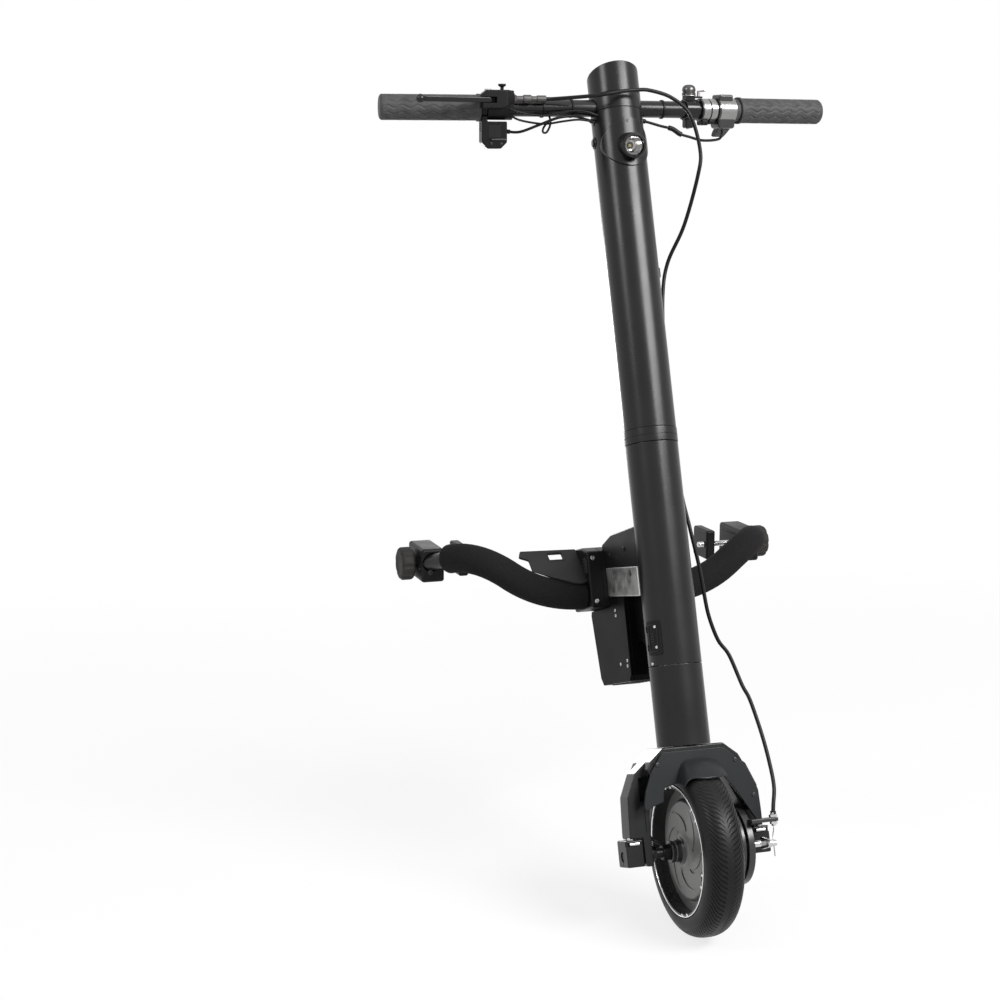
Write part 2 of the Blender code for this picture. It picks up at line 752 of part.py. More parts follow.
def headlight():
    """Wrapped bezel with the lamp barrel, and its lens."""
    housing = turned(
        "headlight_housing", STEER,
        ring(COLUMN_RADIUS + 0.0026, COLUMN_RADIUS + GAP, 0.860, 0.945, 0.0004), steps=40
    )
    bezel_ends = ((0, -0.060, BEZEL_STATION), (0, -0.004, BEZEL_STATION))
    disc = rod("bezel_outline", STEER, BEZEL_RADIUS, *bezel_ends, 32)
    combine(housing, disc, "INTERSECT")
    barrel = [
        (0, 0.0032), (0.0150, 0.0032), (LAMP_RADIUS, 0.0020), (LAMP_RADIUS, -0.0240), (0, -0.0240),
    ]
    join(housing, turned("lamp_barrel", LAMP, barrel, steps=24))
    bowl = [
        (0, 0.006), (0.0131, 0.006), (0.0131, -0.0009), (0.0118, -0.0012), (0.0105, -0.0050),
        (0.0060, -0.0120), (0, -0.0130),
    ]
    cut(housing, turned("lamp_bowl", LAMP, bowl, steps=24))
    finish(housing, BLACK, 0.35, 0.2)
    lens = [(0, 0.0022), (0.006, 0.0019), (0.0128, 0.0008), (0.0128, -0.0006), (0, -0.0006)]
    finish(turned("headlight_lens", LAMP, lens, steps=20), STEEL, 0.05)


BUTTON_ANGLE = math.radians(8)
BUTTON_STATION = 0.912


def button_spot(radius):
    """A place on the power button's axis, which points left and a little back."""
    return (-radius * math.cos(BUTTON_ANGLE), radius * math.sin(BUTTON_ANGLE), BUTTON_STATION)


def power_button():
    button = rod("power_button", STEER, 0.0050, button_spot(0.0315), button_spot(0.0362), 16, 0.0006)
    finish(button, STEEL, 0.35, 0.9)


# Handlebar and its controls

def handlebar():
    end_back = (BAR_HALF - BAR_BEND_AT) * math.tan(BAR_SWEEP)
    on_line = 0.100
    line_back = (on_line - BAR_BEND_AT) * math.tan(BAR_SWEEP)
    half = [(BAR_BEND_AT, 0, 0), (on_line, line_back, 0), (BAR_HALF, end_back, 0)]
    left = [(-x, y, z) for x, y, z in reversed(half)]
    route = bent_route(left + [(0, 0, 0)] + half, 3)
    finish(tube("handlebar", LEVEL, route, BAR_RADIUS, 4), BLACK, 0.35, 0.4)


def grips():
    bore = BAR_RADIUS + GAP
    shoulder = GRIP_RADIUS + 0.0012
    profile = [
        (0, GRIP_OUTER), (0.0145, GRIP_OUTER), (GRIP_RADIUS, GRIP_OUTER - 0.002),
        (GRIP_RADIUS, GRIP_INNER + 0.005), (shoulder, GRIP_INNER + 0.004), (shoulder, GRIP_INNER),
        (bore, GRIP_INNER), (bore, BAR_HALF + 0.0030), (0, BAR_HALF + 0.0030),
    ]
    for name, frame, turn in (
        ("grip_left", LEFT_BAR, (0, -math.pi / 2, 0)), ("grip_right", RIGHT_BAR, TURNS["x"]),
    ):
        finish(turned(name, frame, profile, turn=turn, steps=22), DARK_GREY, 0.85)


def bar_bore(name, frame, start, end):
    return rod(name, frame, BAR_RADIUS + GAP, (start, 0, 0), (end, 0, 0), 20)


LEVER_PIVOT = (-0.1770, -0.0300, 0.0090)
LEVER_HALF = 0.0036
PARKING_SPOT = (-0.1570, -0.0220)


def brake_perch():
    """Clamp on the left bar with the lugs for the lever and the hump of the parking lock."""
    perch = rod("brake_perch", LEFT_BAR, 0.0155, (-0.1735, 0, 0), (-0.1400, 0, 0), 24)
    plan = [
        (-0.1735, 0.006), (-0.1735, -0.0185), (-0.1850, -0.0185), (-0.1850, -0.0370),
        (-0.1520, -0.0370), (-0.1400, -0.0230), (-0.1400, 0.006),
    ]
    join(perch, plate("perch_arm", LEFT_BAR, plan, -0.002, 0.0215, "xy"))
    cut(perch, bar_bore("perch_bore", LEFT_BAR, -0.19, -0.12))
    low = LEVER_PIVOT[2] - LEVER_HALF - GAP
    high = LEVER_PIVOT[2] + LEVER_HALF + GAP
    swing = [
        (-0.200, -0.0120), (-0.200, -0.050), (-0.1660, -0.050), (-0.1660, -0.0200),
        (-0.1720, -0.0120),
    ]
    cut(perch, plate("lever_slot", LEFT_BAR, swing, low, high, "xy"))
    pin_x, pin_y, _ = LEVER_PIVOT
    join(perch, rod("lever_pin", LEFT_BAR, 0.0025, (pin_x, pin_y, 0.0), (pin_x, pin_y, 0.0200), 16))
    knob_x, knob_y = PARKING_SPOT
    hole_floor = (knob_x, knob_y, 0.0135)
    cut(perch, rod("knob_hole", LEFT_BAR, 0.0026, hole_floor, (knob_x, knob_y, 0.03), 16))
    finish(perch, SOFT_BLACK, 0.4)


def brake_lever():
    """Two-finger blade with a ball end."""
    pivot_frame = frame_at("brake_lever_pivot", LEFT_BAR, LEVER_PIVOT)
    root = arc((0, 0), 0.0068, -70, 110, 8)
    blade = root + [
        (-0.022, -0.0015), (-0.050, -0.0125), (-0.080, -0.0260), (-0.0905, -0.0300),
        (-0.0920, -0.0350), (-0.080, -0.0345), (-0.048, -0.0225), (-0.020, -0.0120),
    ]
    lever = plate("brake_lever", pivot_frame, blade, -LEVER_HALF, LEVER_HALF, "xy")

    def ball(bm):
        bmesh.ops.create_uvsphere(bm, u_segments=14, v_segments=8, radius=0.0058)

    tip = place("lever_ball", mesh_from(ball, "lever_ball"), pivot_frame, (-0.0915, -0.0325, 0))
    join(lever, tip)
    cut(lever, rod("pin_hole", pivot_frame, 0.0028, (0, 0, -0.01), (0, 0, 0.01), 16))
    finish(lever, BLACK, 0.35, 0.3)


def parking_knob():
    profile = [
        (0, 0.0295), (0.0045, 0.0295), (0.0052, 0.0285), (0.0050, 0.0265), (0.0023, 0.0255),
        (0.0023, 0.0170), (0, 0.0170),
    ]
    knob = turned("parking_knob", LEFT_BAR, profile, at=(*PARKING_SPOT, 0), steps=12)
    finish(knob, BLACK, 0.4)


def cable_adjuster():
    profile = [
        (0.0028, 0.0415), (0.0046, 0.0415), (0.0046, 0.0300), (0.0036, 0.0290), (0.0036, 0.0230),
        (0.0052, 0.0220), (0.0052, 0.0120), (0.0038, 0.0110), (0.0038, 0.0003), (0.0028, 0.0003),
    ]
    finish(
        turned("cable_adjuster", LEFT_BAR, profile, "x", at=(-0.1400, -0.0170, 0.0110), steps=12),
        STEEL, 0.35, 0.9
    )


def control_pod():
    """Switch pod under the left bar, hung on a slim clamp beside the brake perch."""
    pod = rod("control_pod", LEFT_BAR, 0.0145, (-0.1812, 0, 0), (-0.1740, 0, 0), 24)
    face = [
        (-0.1812, -0.010), (-0.1812, -0.0440), (-0.1740, -0.0520), (-0.1560, -0.0520),
        (-0.1480, -0.0440), (-0.1480, -0.0175), (-0.1738, -0.0175), (-0.1738, -0.010),
    ]
    join(pod, plate("pod_case", LEFT_BAR, face, -0.0120, 0.0100, "xz"))
    cut(pod, bar_bore("pod_bore", LEFT_BAR, -0.19, -0.12))
    pocket = block("rocker_pocket", LEFT_BAR, (-0.1700, 0.0070, -0.0440), (-0.1560, 0.02, -0.0260))
    cut(pod, pocket)
    finish(pod, SOFT_BLACK, 0.5)
    rocker = block(
        "pod_button", LEFT_BAR, (-0.1695, 0.0085, -0.0435), (-0.1565, 0.0122, -0.0265),
        soften=0.0008
    )
    finish(rocker, DARK_GREY, 0.6)


def throttle():
    """Thumb throttle: housing on the right bar and the paddle under it."""
    housing = rod("throttle_housing", RIGHT_BAR, 0.0165, (0.1465, 0, 0), (0.1742, 0, 0), 24)
    join(housing, block(
        "throttle_crown", RIGHT_BAR, (0.1490, -0.0120, 0.0), (0.1700, 0.0100, 0.0205), soften=0.002
    ))
    join(housing, block(
        "throttle_lump", RIGHT_BAR, (0.1480, -0.0120, -0.0240), (0.1740, 0.0120, 0.0), soften=0.003
    ))
    strap = rod("throttle_strap", RIGHT_BAR, 0.0148, (0.1225, 0, 0), (0.1470, 0, 0), 24)
    join(housing, strap)
    cut(housing, bar_bore("throttle_bore", RIGHT_BAR, 0.10, 0.19))
    finish(housing, SOFT_BLACK, 0.35)

    paddle = rod("throttle_paddle", RIGHT_BAR, 0.0150, (0.1745, 0, 0), (0.1812, 0, 0), 28)
    blade = [
        (0.000, -0.0145), (0.0140, -0.0130), (0.0300, -0.0270), (0.0330, -0.0335),
        (0.0290, -0.0345), (0.0120, -0.0240),
    ]
    join(paddle, plate("paddle_blade", RIGHT_BAR, blade, 0.1630, 0.1812, "yz"))
    relief = rod("paddle_relief", RIGHT_BAR, 0.0275, (0.1400, 0, 0), (0.1744, 0, 0), 28)
    cut(paddle, relief)
    cut(paddle, bar_bore("paddle_bore", RIGHT_BAR, 0.15, 0.19))
    finish(paddle, BLACK, 0.5)


STRIKER_SPOT = (0.1235, 0.0015)


def bell():
    """Small striker bell on its own clamp."""
    base = rod("bell", RIGHT_BAR, 0.0138, (0.0990, 0, 0), (0.1180, 0, 0), 20)
    post = block("bell_post", RIGHT_BAR, (0.1020, -0.0050, 0.0), (0.1150, 0.0080, 0.0190))
    join(base, post)
    shelf = block("bell_shelf", RIGHT_BAR, (0.1090, -0.0040, 0.0153), (0.1268, 0.0060, 0.0178))
    join(base, shelf)
    dome = [
        (0, 0.0330), (0.0050, 0.0322), (0.0090, 0.0290), (0.0108, 0.0240), (0.0110, 0.0185),
        (0, 0.0185),
    ]
    join(base, turned("bell_dome", RIGHT_BAR, dome, at=(0.1085, 0.0015, 0), steps=16))
    join(base, block(
        "bell_lobe", RIGHT_BAR, (0.1010, -0.0060, -0.0240), (0.1130, 0.0060, 0.0), soften=0.002
    ))
    cut(base, bar_bore("bell_bore", RIGHT_BAR, 0.08, 0.13))
    finish(base, SOFT_BLACK, 0.35)
    pin_x, pin_y = STRIKER_SPOT
    striker = rod("bell_striker", RIGHT_BAR, 0.0022, (pin_x, pin_y, 0.0181), (pin_x, pin_y, 0.0250), 12)
    join(striker, block(
        "striker_lever", RIGHT_BAR, (0.1223, -0.0160, 0.0235), (0.1247, 0.0025, 0.0255)
    ))
    finish(striker, STEEL, 0.3, 0.9)


def cables():
    for name, route, radius in (
        ("brake_cable", BRAKE_ROUTE, BRAKE_CABLE_RADIUS),
        ("throttle_cable", THROTTLE_ROUTE, THIN_CABLE_RADIUS),
        ("pod_cable", POD_ROUTE, THIN_CABLE_RADIUS),
    ):
        finish(tube(name, STEER, smooth_route(route, radius * 6.5), radius, 1), SOFT_BLACK, 0.5)


# Fork, fairing and axle

def fork():
    """Crown and two legs, with a thin dropout at each foot."""
    half = [
        (0.0400, CROWN_TOP - 0.0002), (0.0590, 0.1125), (0.0750, 0.0995), (0.0872, 0.0715),
        (0.0882, 0.0516), (LEG_OUTER, 0.0271), (LEG_OUTER, 0.0210), (DROPOUT_OUTER, 0.0210),
        (DROPOUT_OUTER, -0.0100), (DROPOUT_OUTER - 0.003, -0.0140), (LEG_INNER, -0.0140),
        (LEG_INNER, 0.0450), (0.0590, 0.0560), (0.0450, 0.0850), (0.0330, 0.1040), (0.0260, 0.1120),
    ]
    outline = half + [(-x, z) for x, z in reversed(half)]
    piece = plate("fork", STEER, outline, -LEG_DEPTH / 2, LEG_DEPTH / 2)
    crown_half = [
        (0.0400, CROWN_TOP - 0.0002), (0.0590, 0.1125), (0.0640, 0.1030), (0.0600, 0.0950),
        (0.0400, 0.0950), (0.0300, 0.1100), (0.0260, 0.1120),
    ]
    crown_outline = crown_half + [(-x, z) for x, z in reversed(crown_half)]
    join(piece, plate("fork_crown", STEER, crown_outline, -CROWN_DEPTH / 2, CROWN_DEPTH / 2))
    reach = 0.12
    cut(piece, rod("axle_slot", STEER, AXLE_RADIUS + GAP, (-reach, 0, 0), (reach, 0, 0), 20))
    pocket_half = [
        (0.0600, 0.0665), (0.0716, 0.0645), (0.0716, 0.0945), (0.0560, 0.0945), (0.0560, 0.0760),
    ]
    for side in (-1, 1):
        pocket = [(side * x, z) for x, z in pocket_half]
        cut(piece, plate("leg_pocket", STEER, pocket, -0.02, -0.0060))
    finish(piece, BLUE_BLACK, 0.4, 0.3)


def fork_fairing():
    """Front panel of the fork, with the hood over the tyre and a web to each leg."""
    outline = [
        (-0.0438, 0.1225), (0.0350, 0.1222), (0.0420, 0.1192), (0.0610, 0.1004),
        (0.0682, 0.0922), (0.0789, 0.0660), (0.0798, 0.0407), (0.0797, 0.0260),
        (0.0735, 0.0270), (0.0624, 0.0454), (0.0529, 0.0611), (0.0447, 0.0738),
        (0.0375, 0.0818), (0.0335, 0.0890), (0.0300, 0.0975), (0.0240, 0.1045),
        (0.0120, 0.1085), (-0.0060, 0.1090), (-0.0150, 0.1065), (-0.0205, 0.1025),
        (-0.0240, 0.0965), (-0.0262, 0.0900), (-0.0268, 0.0835), (-0.0345, 0.0815),
        (-0.0447, 0.0795), (-0.0471, 0.0725), (-0.0483, 0.0624), (-0.0631, 0.0581),
        (-0.0715, 0.0531), (-0.0740, 0.0592), (-0.0705, 0.0762), (-0.0597, 0.1014),
        (-0.0561, 0.1055),
    ]
    back = -CROWN_DEPTH / 2 - GAP
    panel = plate("fork_fairing", STEER, outline, FAIRING_FRONT, back)
    web_back = -LEG_DEPTH / 2 - GAP
    for name, low, high in (
        ("left_web", (-0.0560, 0.0640), (-0.0510, 0.0940)),
        ("right_web", (0.0650, 0.0420), (0.0710, 0.0860)),
    ):
        join(panel, block(
            name, STEER, (low[0], back - 0.002, low[1]), (high[0], web_back, high[1])
        ))
    hood = place("tyre_hood", mesh_from(tyre_hood, "tyre_hood"), STEER)
    wall = hood.modifiers.new("wall", "SOLIDIFY")
    wall.thickness = 0.0018
    wall.offset = 1
    join(panel, hood)
    finish(panel, BLUE_BLACK, 0.45)


def tyre_hood(bm):
    """Hood that follows the tyre from the panel to its lip, its left side drawn down to a skirt."""
    half_width = 0.0286
    root_back = 0.0325
    root_radius = 0.1168
    lip_radius = 0.1112
    lip_reach = 0.0682
    grid = bmesh.ops.create_grid(bm, x_segments=14, y_segments=6, size=1.0)
    for vert in grid["verts"]:
        across = vert.co.x
        along = (vert.co.y + 1) / 2
        if across < 0:
            root_drop, lip_drop, pull, power = 0.0265, 0.0126, 0.0105, 5.0
        else:
            root_drop, lip_drop, pull, power = 0.0055, 0.0050, 0.0082, 2.5
        drop = (root_drop + (lip_drop - root_drop) * along) * abs(across) ** power
        radius = root_radius + (lip_radius - root_radius) * along - drop
        reach = root_back + (lip_reach - pull * across ** 2 - root_back) * along
        vert.co = (half_width * across, -reach, math.sqrt(radius ** 2 - reach ** 2))


def dropout_clamps():
    low, high = CLAMP_BLOCK
    for name, side in (("left", -1), ("right", 1)):
        spots = [side * low, side * high]
        clamp = block(
            "dropout_clamp_" + name, STEER, (min(spots), -0.016, -0.013), (max(spots), 0.016, 0.020),
            soften=0.002
        )
        hole_ends = ((min(spots) - 0.01, 0, 0), (max(spots) + 0.01, 0, 0))
        cut(clamp, rod("axle_hole_" + name, STEER, AXLE_RADIUS + GAP, *hole_ends, 20))
        finish(clamp, BLACK, 0.4, 0.3)


def axle():
    end = 0.0950
    core = 0.0605
    neck = -0.0353
    profile = [
        (0, end), (AXLE_RADIUS - 0.001, end), (AXLE_RADIUS, end - 0.001), (AXLE_RADIUS, core),
        (AXLE_CORE, core), (AXLE_CORE, neck), (AXLE_RADIUS, neck), (AXLE_RADIUS, -end + 0.001),
        (AXLE_RADIUS - 0.001, -end), (0, -end),
    ]
    finish(turned("axle", AXLE, profile, "x", steps=18), STEEL, 0.3, 1.0)


def motor_stator():
    """Wound core of the hub motor, fixed on the axle."""
    profile = ring(0.0700, AXLE_CORE + GAP, -0.0030, 0.0130, 0.001)
    finish(turned("motor_stator", STEER, profile, "x", steps=28), COPPER, 0.45, 0.8)


# Wheel

def tyre():
    crown = []
    for step in range(11):
        a = math.pi * step / 10
        bulge = math.copysign(abs(math.cos(a)) ** 0.8, math.cos(a))
        crown.append((0.0850 + (WHEEL_RADIUS - 0.0850) * math.sin(a) ** 0.85, TYRE_HALF * bulge))
    profile = crown + [(RIM_RADIUS + GAP, -0.0235), (RIM_RADIUS + GAP, 0.0235)]
    finish(turned("tyre", AXLE, profile, "x", steps=48), DARK_GREY, 0.85)


def hub_shell():
    """Rim, motor shell and brake drum in one casting."""
    profile = [
        (RIM_RADIUS - 0.0008, RIM_HALF), (RIM_RADIUS, RIM_HALF - 0.0008), (RIM_RADIUS, -RIM_HALF + 0.0008),
        (RIM_RADIUS - 0.0008, -RIM_HALF), (SHELL_BORE + 0.0006, -RIM_HALF), (SHELL_BORE, -RIM_HALF + 0.0006),
        (SHELL_BORE, 0.0150), (0.0125, 0.0150), (0.0125, DRUM_FLOOR), (DRUM_BORE, DRUM_FLOOR),
        (DRUM_BORE, DRUM_EDGE), (DRUM_RADIUS, DRUM_EDGE), (DRUM_RADIUS, 0.0260), (0.0740, 0.0215),
        (0.0760, RIM_HALF),
    ]
    finish(turned("hub_shell", AXLE, profile, "x", steps=36), BLACK, 0.4, 0.4)


def hub_cover():
    """Left side of the motor: a disc and its neck in a deep rim well."""
    rim = SHELL_BORE - GAP
    bore = AXLE_CORE + GAP
    pocket = 0.0125
    inside = -0.0045
    profile = [
        (rim, inside), (rim, -0.0075), (0.0640, -0.0080), (0.0605, -0.0125), (0.0580, -0.0140),
        (0.0260, -0.0150), (0.0200, -0.0185), (0.0140, -0.0200), (0.0128, -0.0335),
        (0.0118, -0.0347), (bore, -0.0347), (bore, -0.0186), (pocket, -0.0186), (pocket, inside),
    ]
    finish(turned("hub_cover", AXLE, profile, "x", steps=36), BLACK, 0.45, 0.3)


def wheel_bearings():
    inner = AXLE_CORE + GAP
    outer = 0.0125 - GAP
    for name, low, high in (
        ("wheel_bearing_left", -0.0180, -0.0085), ("wheel_bearing_right", 0.0155, 0.0260),
    ):
        race = turned(name, AXLE, ring(outer, inner, low, high, 0.0003), "x", steps=16)
        finish(race, STEEL, 0.3, 1.0)


# Drum brake

def brake_backing():
    """Fixed plate that closes the drum, with the cable stop on an arm in front of the leg."""
    low, high = BACKING_SPAN
    piece = turned("brake_backing", STEER, ring(0.0500, AXLE_CORE + GAP, low, high, 0.0015), "x", steps=28)
    stop = block(
        "cable_stop", STEER, (0.0560, -0.0540, 0.0255), (0.0925, -0.0360, 0.0305), soften=0.001
    )
    join(piece, stop)
    anchor = (CAM_FORWARD, 0)
    join(piece, rod("anchor_pin", STEER, 0.0045, (SHOE_SPAN[0], *anchor), (low + 0.001, *anchor), 16))
    cam = (-CAM_FORWARD, 0)
    cut(piece, rod("cam_bore", STEER, 0.0043, (low - 0.01, *cam), (high + 0.01, *cam), 20))
    finish(piece, BLACK, 0.45, 0.3)


def brake_cam_arm():
    """Cam shaft and the arm that the cable pulls."""
    cam_frame = frame_at("brake_cam_axis", STEER, (0, -CAM_FORWARD, 0))
    arm = rod("brake_arm", cam_frame, 0.0040, (0.0300, 0, 0), (0.0790, 0, 0), 20)
    outline = arc((0, 0), 0.0075, -90, 90, 6) + [
        (-0.0190, 0.0045), (-0.0240, 0.0040), (-0.0255, 0.0), (-0.0240, -0.0040),
        (-0.0190, -0.0045),
    ]
    join(arm, plate("cam_arm", cam_frame, outline, 0.0740, 0.0775, "yz"))
    finish(arm, STEEL, 0.4, 0.8)


def brake_shoes():
    """Two curved shoes that meet at an anchor behind the axle."""
    low, high = SHOE_SPAN
    anchor = frame_at("shoe_anchor", STEER, (0, CAM_FORWARD, 0))
    centre = (-CAM_FORWARD, 0)
    inner = SHOE_RADIUS - 0.0077
    spans = (("brake_shoe_upper", 10, 166), ("brake_shoe_lower", 194, 350))
    for name, start, end in spans:
        shape = arc(centre, SHOE_RADIUS, start, end, 10) + arc(centre, inner, end, start, 10)
        finish(plate(name, anchor, shape, low, high, "yz"), LINING, 0.8)


def build_all():
    steering_sleeve()
    steering_bearings()
    charging_port()
    dock_block()
    latch_housing()
    docking_plate()
    controller_box()
    crossbar()
    foam_sleeves()
    screw_clamps()
    steerer()
    lower_tube()
    collar()
    upper_tube()
    battery_pack()
    stem_band()
    top_cap()
    headlight()
    power_button()
    handlebar()
    grips()
    brake_perch()
    brake_lever()
    parking_knob()
    cable_adjuster()
    control_pod()
    throttle()
    bell()
    cables()
    fork()
    fork_fairing()
    dropout_clamps()
    axle()
    motor_stator()
    tyre()
    hub_shell()
    hub_cover()
    wheel_bearings()
    brake_backing()
    brake_cam_arm()
    brake_shoes()


build_all()
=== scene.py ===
"""Looks of a power drive unit that docks to the front of a manual wheelchair.

Every piece is built in the frame that carries it (the leaning column, the level dock, either half
of the handlebar, the lamp) and then written out in the row frame, so each object sits at the
origin.
"""

import math

import bmesh
import bpy
from mathutils import Matrix, Vector


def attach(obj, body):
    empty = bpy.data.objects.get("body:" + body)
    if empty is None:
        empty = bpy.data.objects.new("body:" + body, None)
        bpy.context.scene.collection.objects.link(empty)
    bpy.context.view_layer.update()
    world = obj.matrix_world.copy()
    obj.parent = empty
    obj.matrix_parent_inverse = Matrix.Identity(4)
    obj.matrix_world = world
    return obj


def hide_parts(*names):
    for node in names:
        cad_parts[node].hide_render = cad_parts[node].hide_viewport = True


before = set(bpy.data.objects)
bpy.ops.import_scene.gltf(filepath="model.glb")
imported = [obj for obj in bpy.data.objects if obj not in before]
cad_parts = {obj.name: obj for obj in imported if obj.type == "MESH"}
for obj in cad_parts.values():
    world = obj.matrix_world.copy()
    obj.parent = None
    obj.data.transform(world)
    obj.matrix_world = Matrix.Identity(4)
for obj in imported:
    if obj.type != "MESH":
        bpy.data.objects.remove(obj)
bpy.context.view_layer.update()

# Driving dimensions, as in the part
LEAN = math.radians(18.3)
WHEEL_RADIUS = 0.108
ORIGIN_BEHIND_AXLE = 0.1585
COLUMN_RADIUS = 0.0336
COLUMN_BORE = 0.0216
CROWN_TOP = 0.128
GAP = 0.0003
TURNING_GAP = 0.0006
SLEEVE_BOTTOM = 0.2293
SLEEVE_TOP = 0.5107
COLLAR_TOP = 0.5295
BAND_BOTTOM = 0.9495
BAR_STATION = 0.9576
BAND_TOP = 0.9715
CAP_MIDDLE = 1.0024
CAP_SLOPE = math.radians(15.2)
BAR_RADIUS = 0.011
BAR_BEND_AT = 0.040
BAR_HALF = 0.3095
BAR_SWEEP = math.radians(7.05)
FOAM_RADIUS = 0.0195
CROSSBAR_RADIUS = 0.011
SOCKET_RADIUS = 0.0125
PORT_ANGLE = math.radians(25.5)
PORT_STATION = 0.264
SIDES = (("left", -1), ("right", 1))


def placed(x, y, z):
    return Matrix.Translation((x, y, z))


def turned(angle, axis):
    return Matrix.Rotation(angle, 4, axis)


# Frames that the pieces are built in
LEANING = turned(-LEAN, "X")
AXLE = placed(0, -ORIGIN_BEHIND_AXLE, WHEEL_RADIUS)
STEER = AXLE @ LEANING
DOCK = placed(0, -ORIGIN_BEHIND_AXLE, 0)
LEVEL = STEER @ placed(0, 0, BAR_STATION) @ turned(LEAN, "X")
BEND_SHIFT = BAR_BEND_AT * (1 - math.cos(BAR_SWEEP))
BEND_DROP = -BAR_BEND_AT * math.sin(BAR_SWEEP)
LEFT_BAR = LEVEL @ placed(-BEND_SHIFT, BEND_DROP, 0) @ turned(-BAR_SWEEP, "Z")
RIGHT_BAR = LEVEL @ placed(BEND_SHIFT, BEND_DROP, 0) @ turned(BAR_SWEEP, "Z")
LAMP = STEER @ placed(0, -0.0475, 0.892) @ turned(math.pi / 2 + LEAN, "X")
DISPLAY = STEER @ placed(0, 0, CAP_MIDDLE) @ turned(-CAP_SLOPE, "X")
PORT = STEER @ placed(0, 0, PORT_STATION) @ turned(math.pi + PORT_ANGLE, "Z")
ALONG_X = turned(math.pi / 2, "Y")
ALONG_MINUS_X = turned(-math.pi / 2, "Y")
WHEEL = AXLE @ ALONG_X

# Directions that screws and nuts face
LEFT = (-1, 0, 0)
RIGHT = (1, 0, 0)
FORWARD = (0, -1, 0)
UP = (0, 0, 1)
DOWN = (0, 0, -1)

LOOKS = bpy.data.collections.new("drive_unit_looks")
bpy.context.scene.collection.children.link(LOOKS)


# Shapes: each one comes back as a bmesh in its own frame

MERGE = 0.0000005
CHAMFER_SHARE = 0.29


def soften(bm, width, segments=3, over=40):
    """Round the edges that turn by more than an angle in degrees."""
    limit = math.radians(over)
    edges = [e for e in bm.edges if len(e.link_faces) == 2 and e.calc_face_angle(0) > limit]
    bmesh.ops.bevel(
        bm, geom=edges, offset=width, offset_type="OFFSET", segments=segments, profile=0.5,
        affect="EDGES", clamp_overlap=True, material=-1
    )
    return bm


def moved(bm, *steps):
    """The same shape after one or more matrices, the last one first."""
    for step in reversed(steps):
        bmesh.ops.transform(bm, matrix=step, verts=bm.verts)
    return bm


def shifted(bm, x=0.0, y=0.0, z=0.0):
    bmesh.ops.translate(bm, vec=(x, y, z), verts=bm.verts)
    return bm


def together(*shapes):
    """Several shapes in one bmesh."""
    whole = bmesh.new()
    for shape in shapes:
        mesh = bpy.data.meshes.new("shape")
        shape.to_mesh(mesh)
        shape.free()
        whole.from_mesh(mesh)
        bpy.data.meshes.remove(mesh)
    return whole


def carved(bm, cutter, operation="DIFFERENCE"):
    """Cut one shape with another, join them or keep what they share."""
    made = []
    for name, shape in (("stock", bm), ("cutter", cutter)):
        mesh = bpy.data.meshes.new(name)
        shape.to_mesh(mesh)
        shape.free()
        item = bpy.data.objects.new(name, mesh)
        LOOKS.objects.link(item)
        made.append(item)
    stock, tool = made
    change = stock.modifiers.new("change", "BOOLEAN")
    change.operation = operation
    change.object = tool
    change.solver = "EXACT"
    evaluated = stock.evaluated_get(bpy.context.evaluated_depsgraph_get())
    result = bmesh.new()
    result.from_mesh(evaluated.to_mesh())
    evaluated.to_mesh_clear()
    for item in made:
        mesh = item.data
        bpy.data.objects.remove(item, do_unlink=True)
        bpy.data.meshes.remove(mesh)
    return result


def cut(bm, *cutters):
    """A shape less each of the others in turn."""
    for cutter in cutters:
        bm = carved(bm, cutter)
    return bm


def joined(bm, *others):
    """A shape with each of the others joined to it in turn."""
    for other in others:
        bm = carved(bm, other, "UNION")
    return bm


def shared(bm, other):
    return carved(bm, other, "INTERSECT")


def box(low, high, round_off=0.0, segments=3):
    bm = bmesh.new()
    low = Vector(low)
    high = Vector(high)
    bmesh.ops.create_cube(bm, size=1.0)
    bmesh.ops.scale(bm, vec=high - low, verts=bm.verts)
    bmesh.ops.translate(bm, vec=(low + high) / 2, verts=bm.verts)
    if round_off:
        soften(bm, round_off, segments)
    return bm


def side_box(side, near, far, low, high, round_off=0.0, segments=3):
    """A box between two distances from the middle plane, its other limits given as (y, z)."""
    start, end = sorted((side * near, side * far))
    return box((start, *low), (end, *high), round_off, segments)


def rod(radius, start, end, sides=32, round_off=0.0):
    bm = bmesh.new()
    start = Vector(start)
    end = Vector(end)
    along = end - start
    bmesh.ops.create_cone(
        bm, cap_ends=True, segments=sides, radius1=radius, radius2=radius, depth=along.length
    )
    if round_off:
        soften(bm, round_off, 3, 50)
    turn = along.to_track_quat("Z", "Y").to_matrix().to_4x4()
    return moved(bm, Matrix.Translation((start + end) / 2), turn)


def rod_x(radius, start, end, sides=32, round_off=0.0, y=0.0, z=0.0):
    """A rod along x, from start to end."""
    return rod(radius, (start, y, z), (end, y, z), sides, round_off)


def bar_hole(start, end, radius=BAR_RADIUS + GAP):
    return rod_x(radius, start, end, 64)


def lathe(profile, steps=72):
    """Spin a profile of (radius, height) points about z."""
    bm = bmesh.new()
    points = [bm.verts.new((radius, 0, height)) for radius, height in profile]
    edges = [bm.edges.new(pair) for pair in zip(points, points[1:])]
    if profile[0][0] > 0:
        edges.append(bm.edges.new((points[-1], points[0])))
    bmesh.ops.spin(
        bm, geom=points + edges, cent=(0, 0, 0), axis=(0, 0, 1), dvec=(0, 0, 0), angle=math.tau,
        steps=steps, use_merge=True, use_duplicate=False
    )
    bmesh.ops.remove_doubles(bm, verts=bm.verts, dist=MERGE)
    bmesh.ops.recalc_face_normals(bm, faces=bm.faces)
    return bm


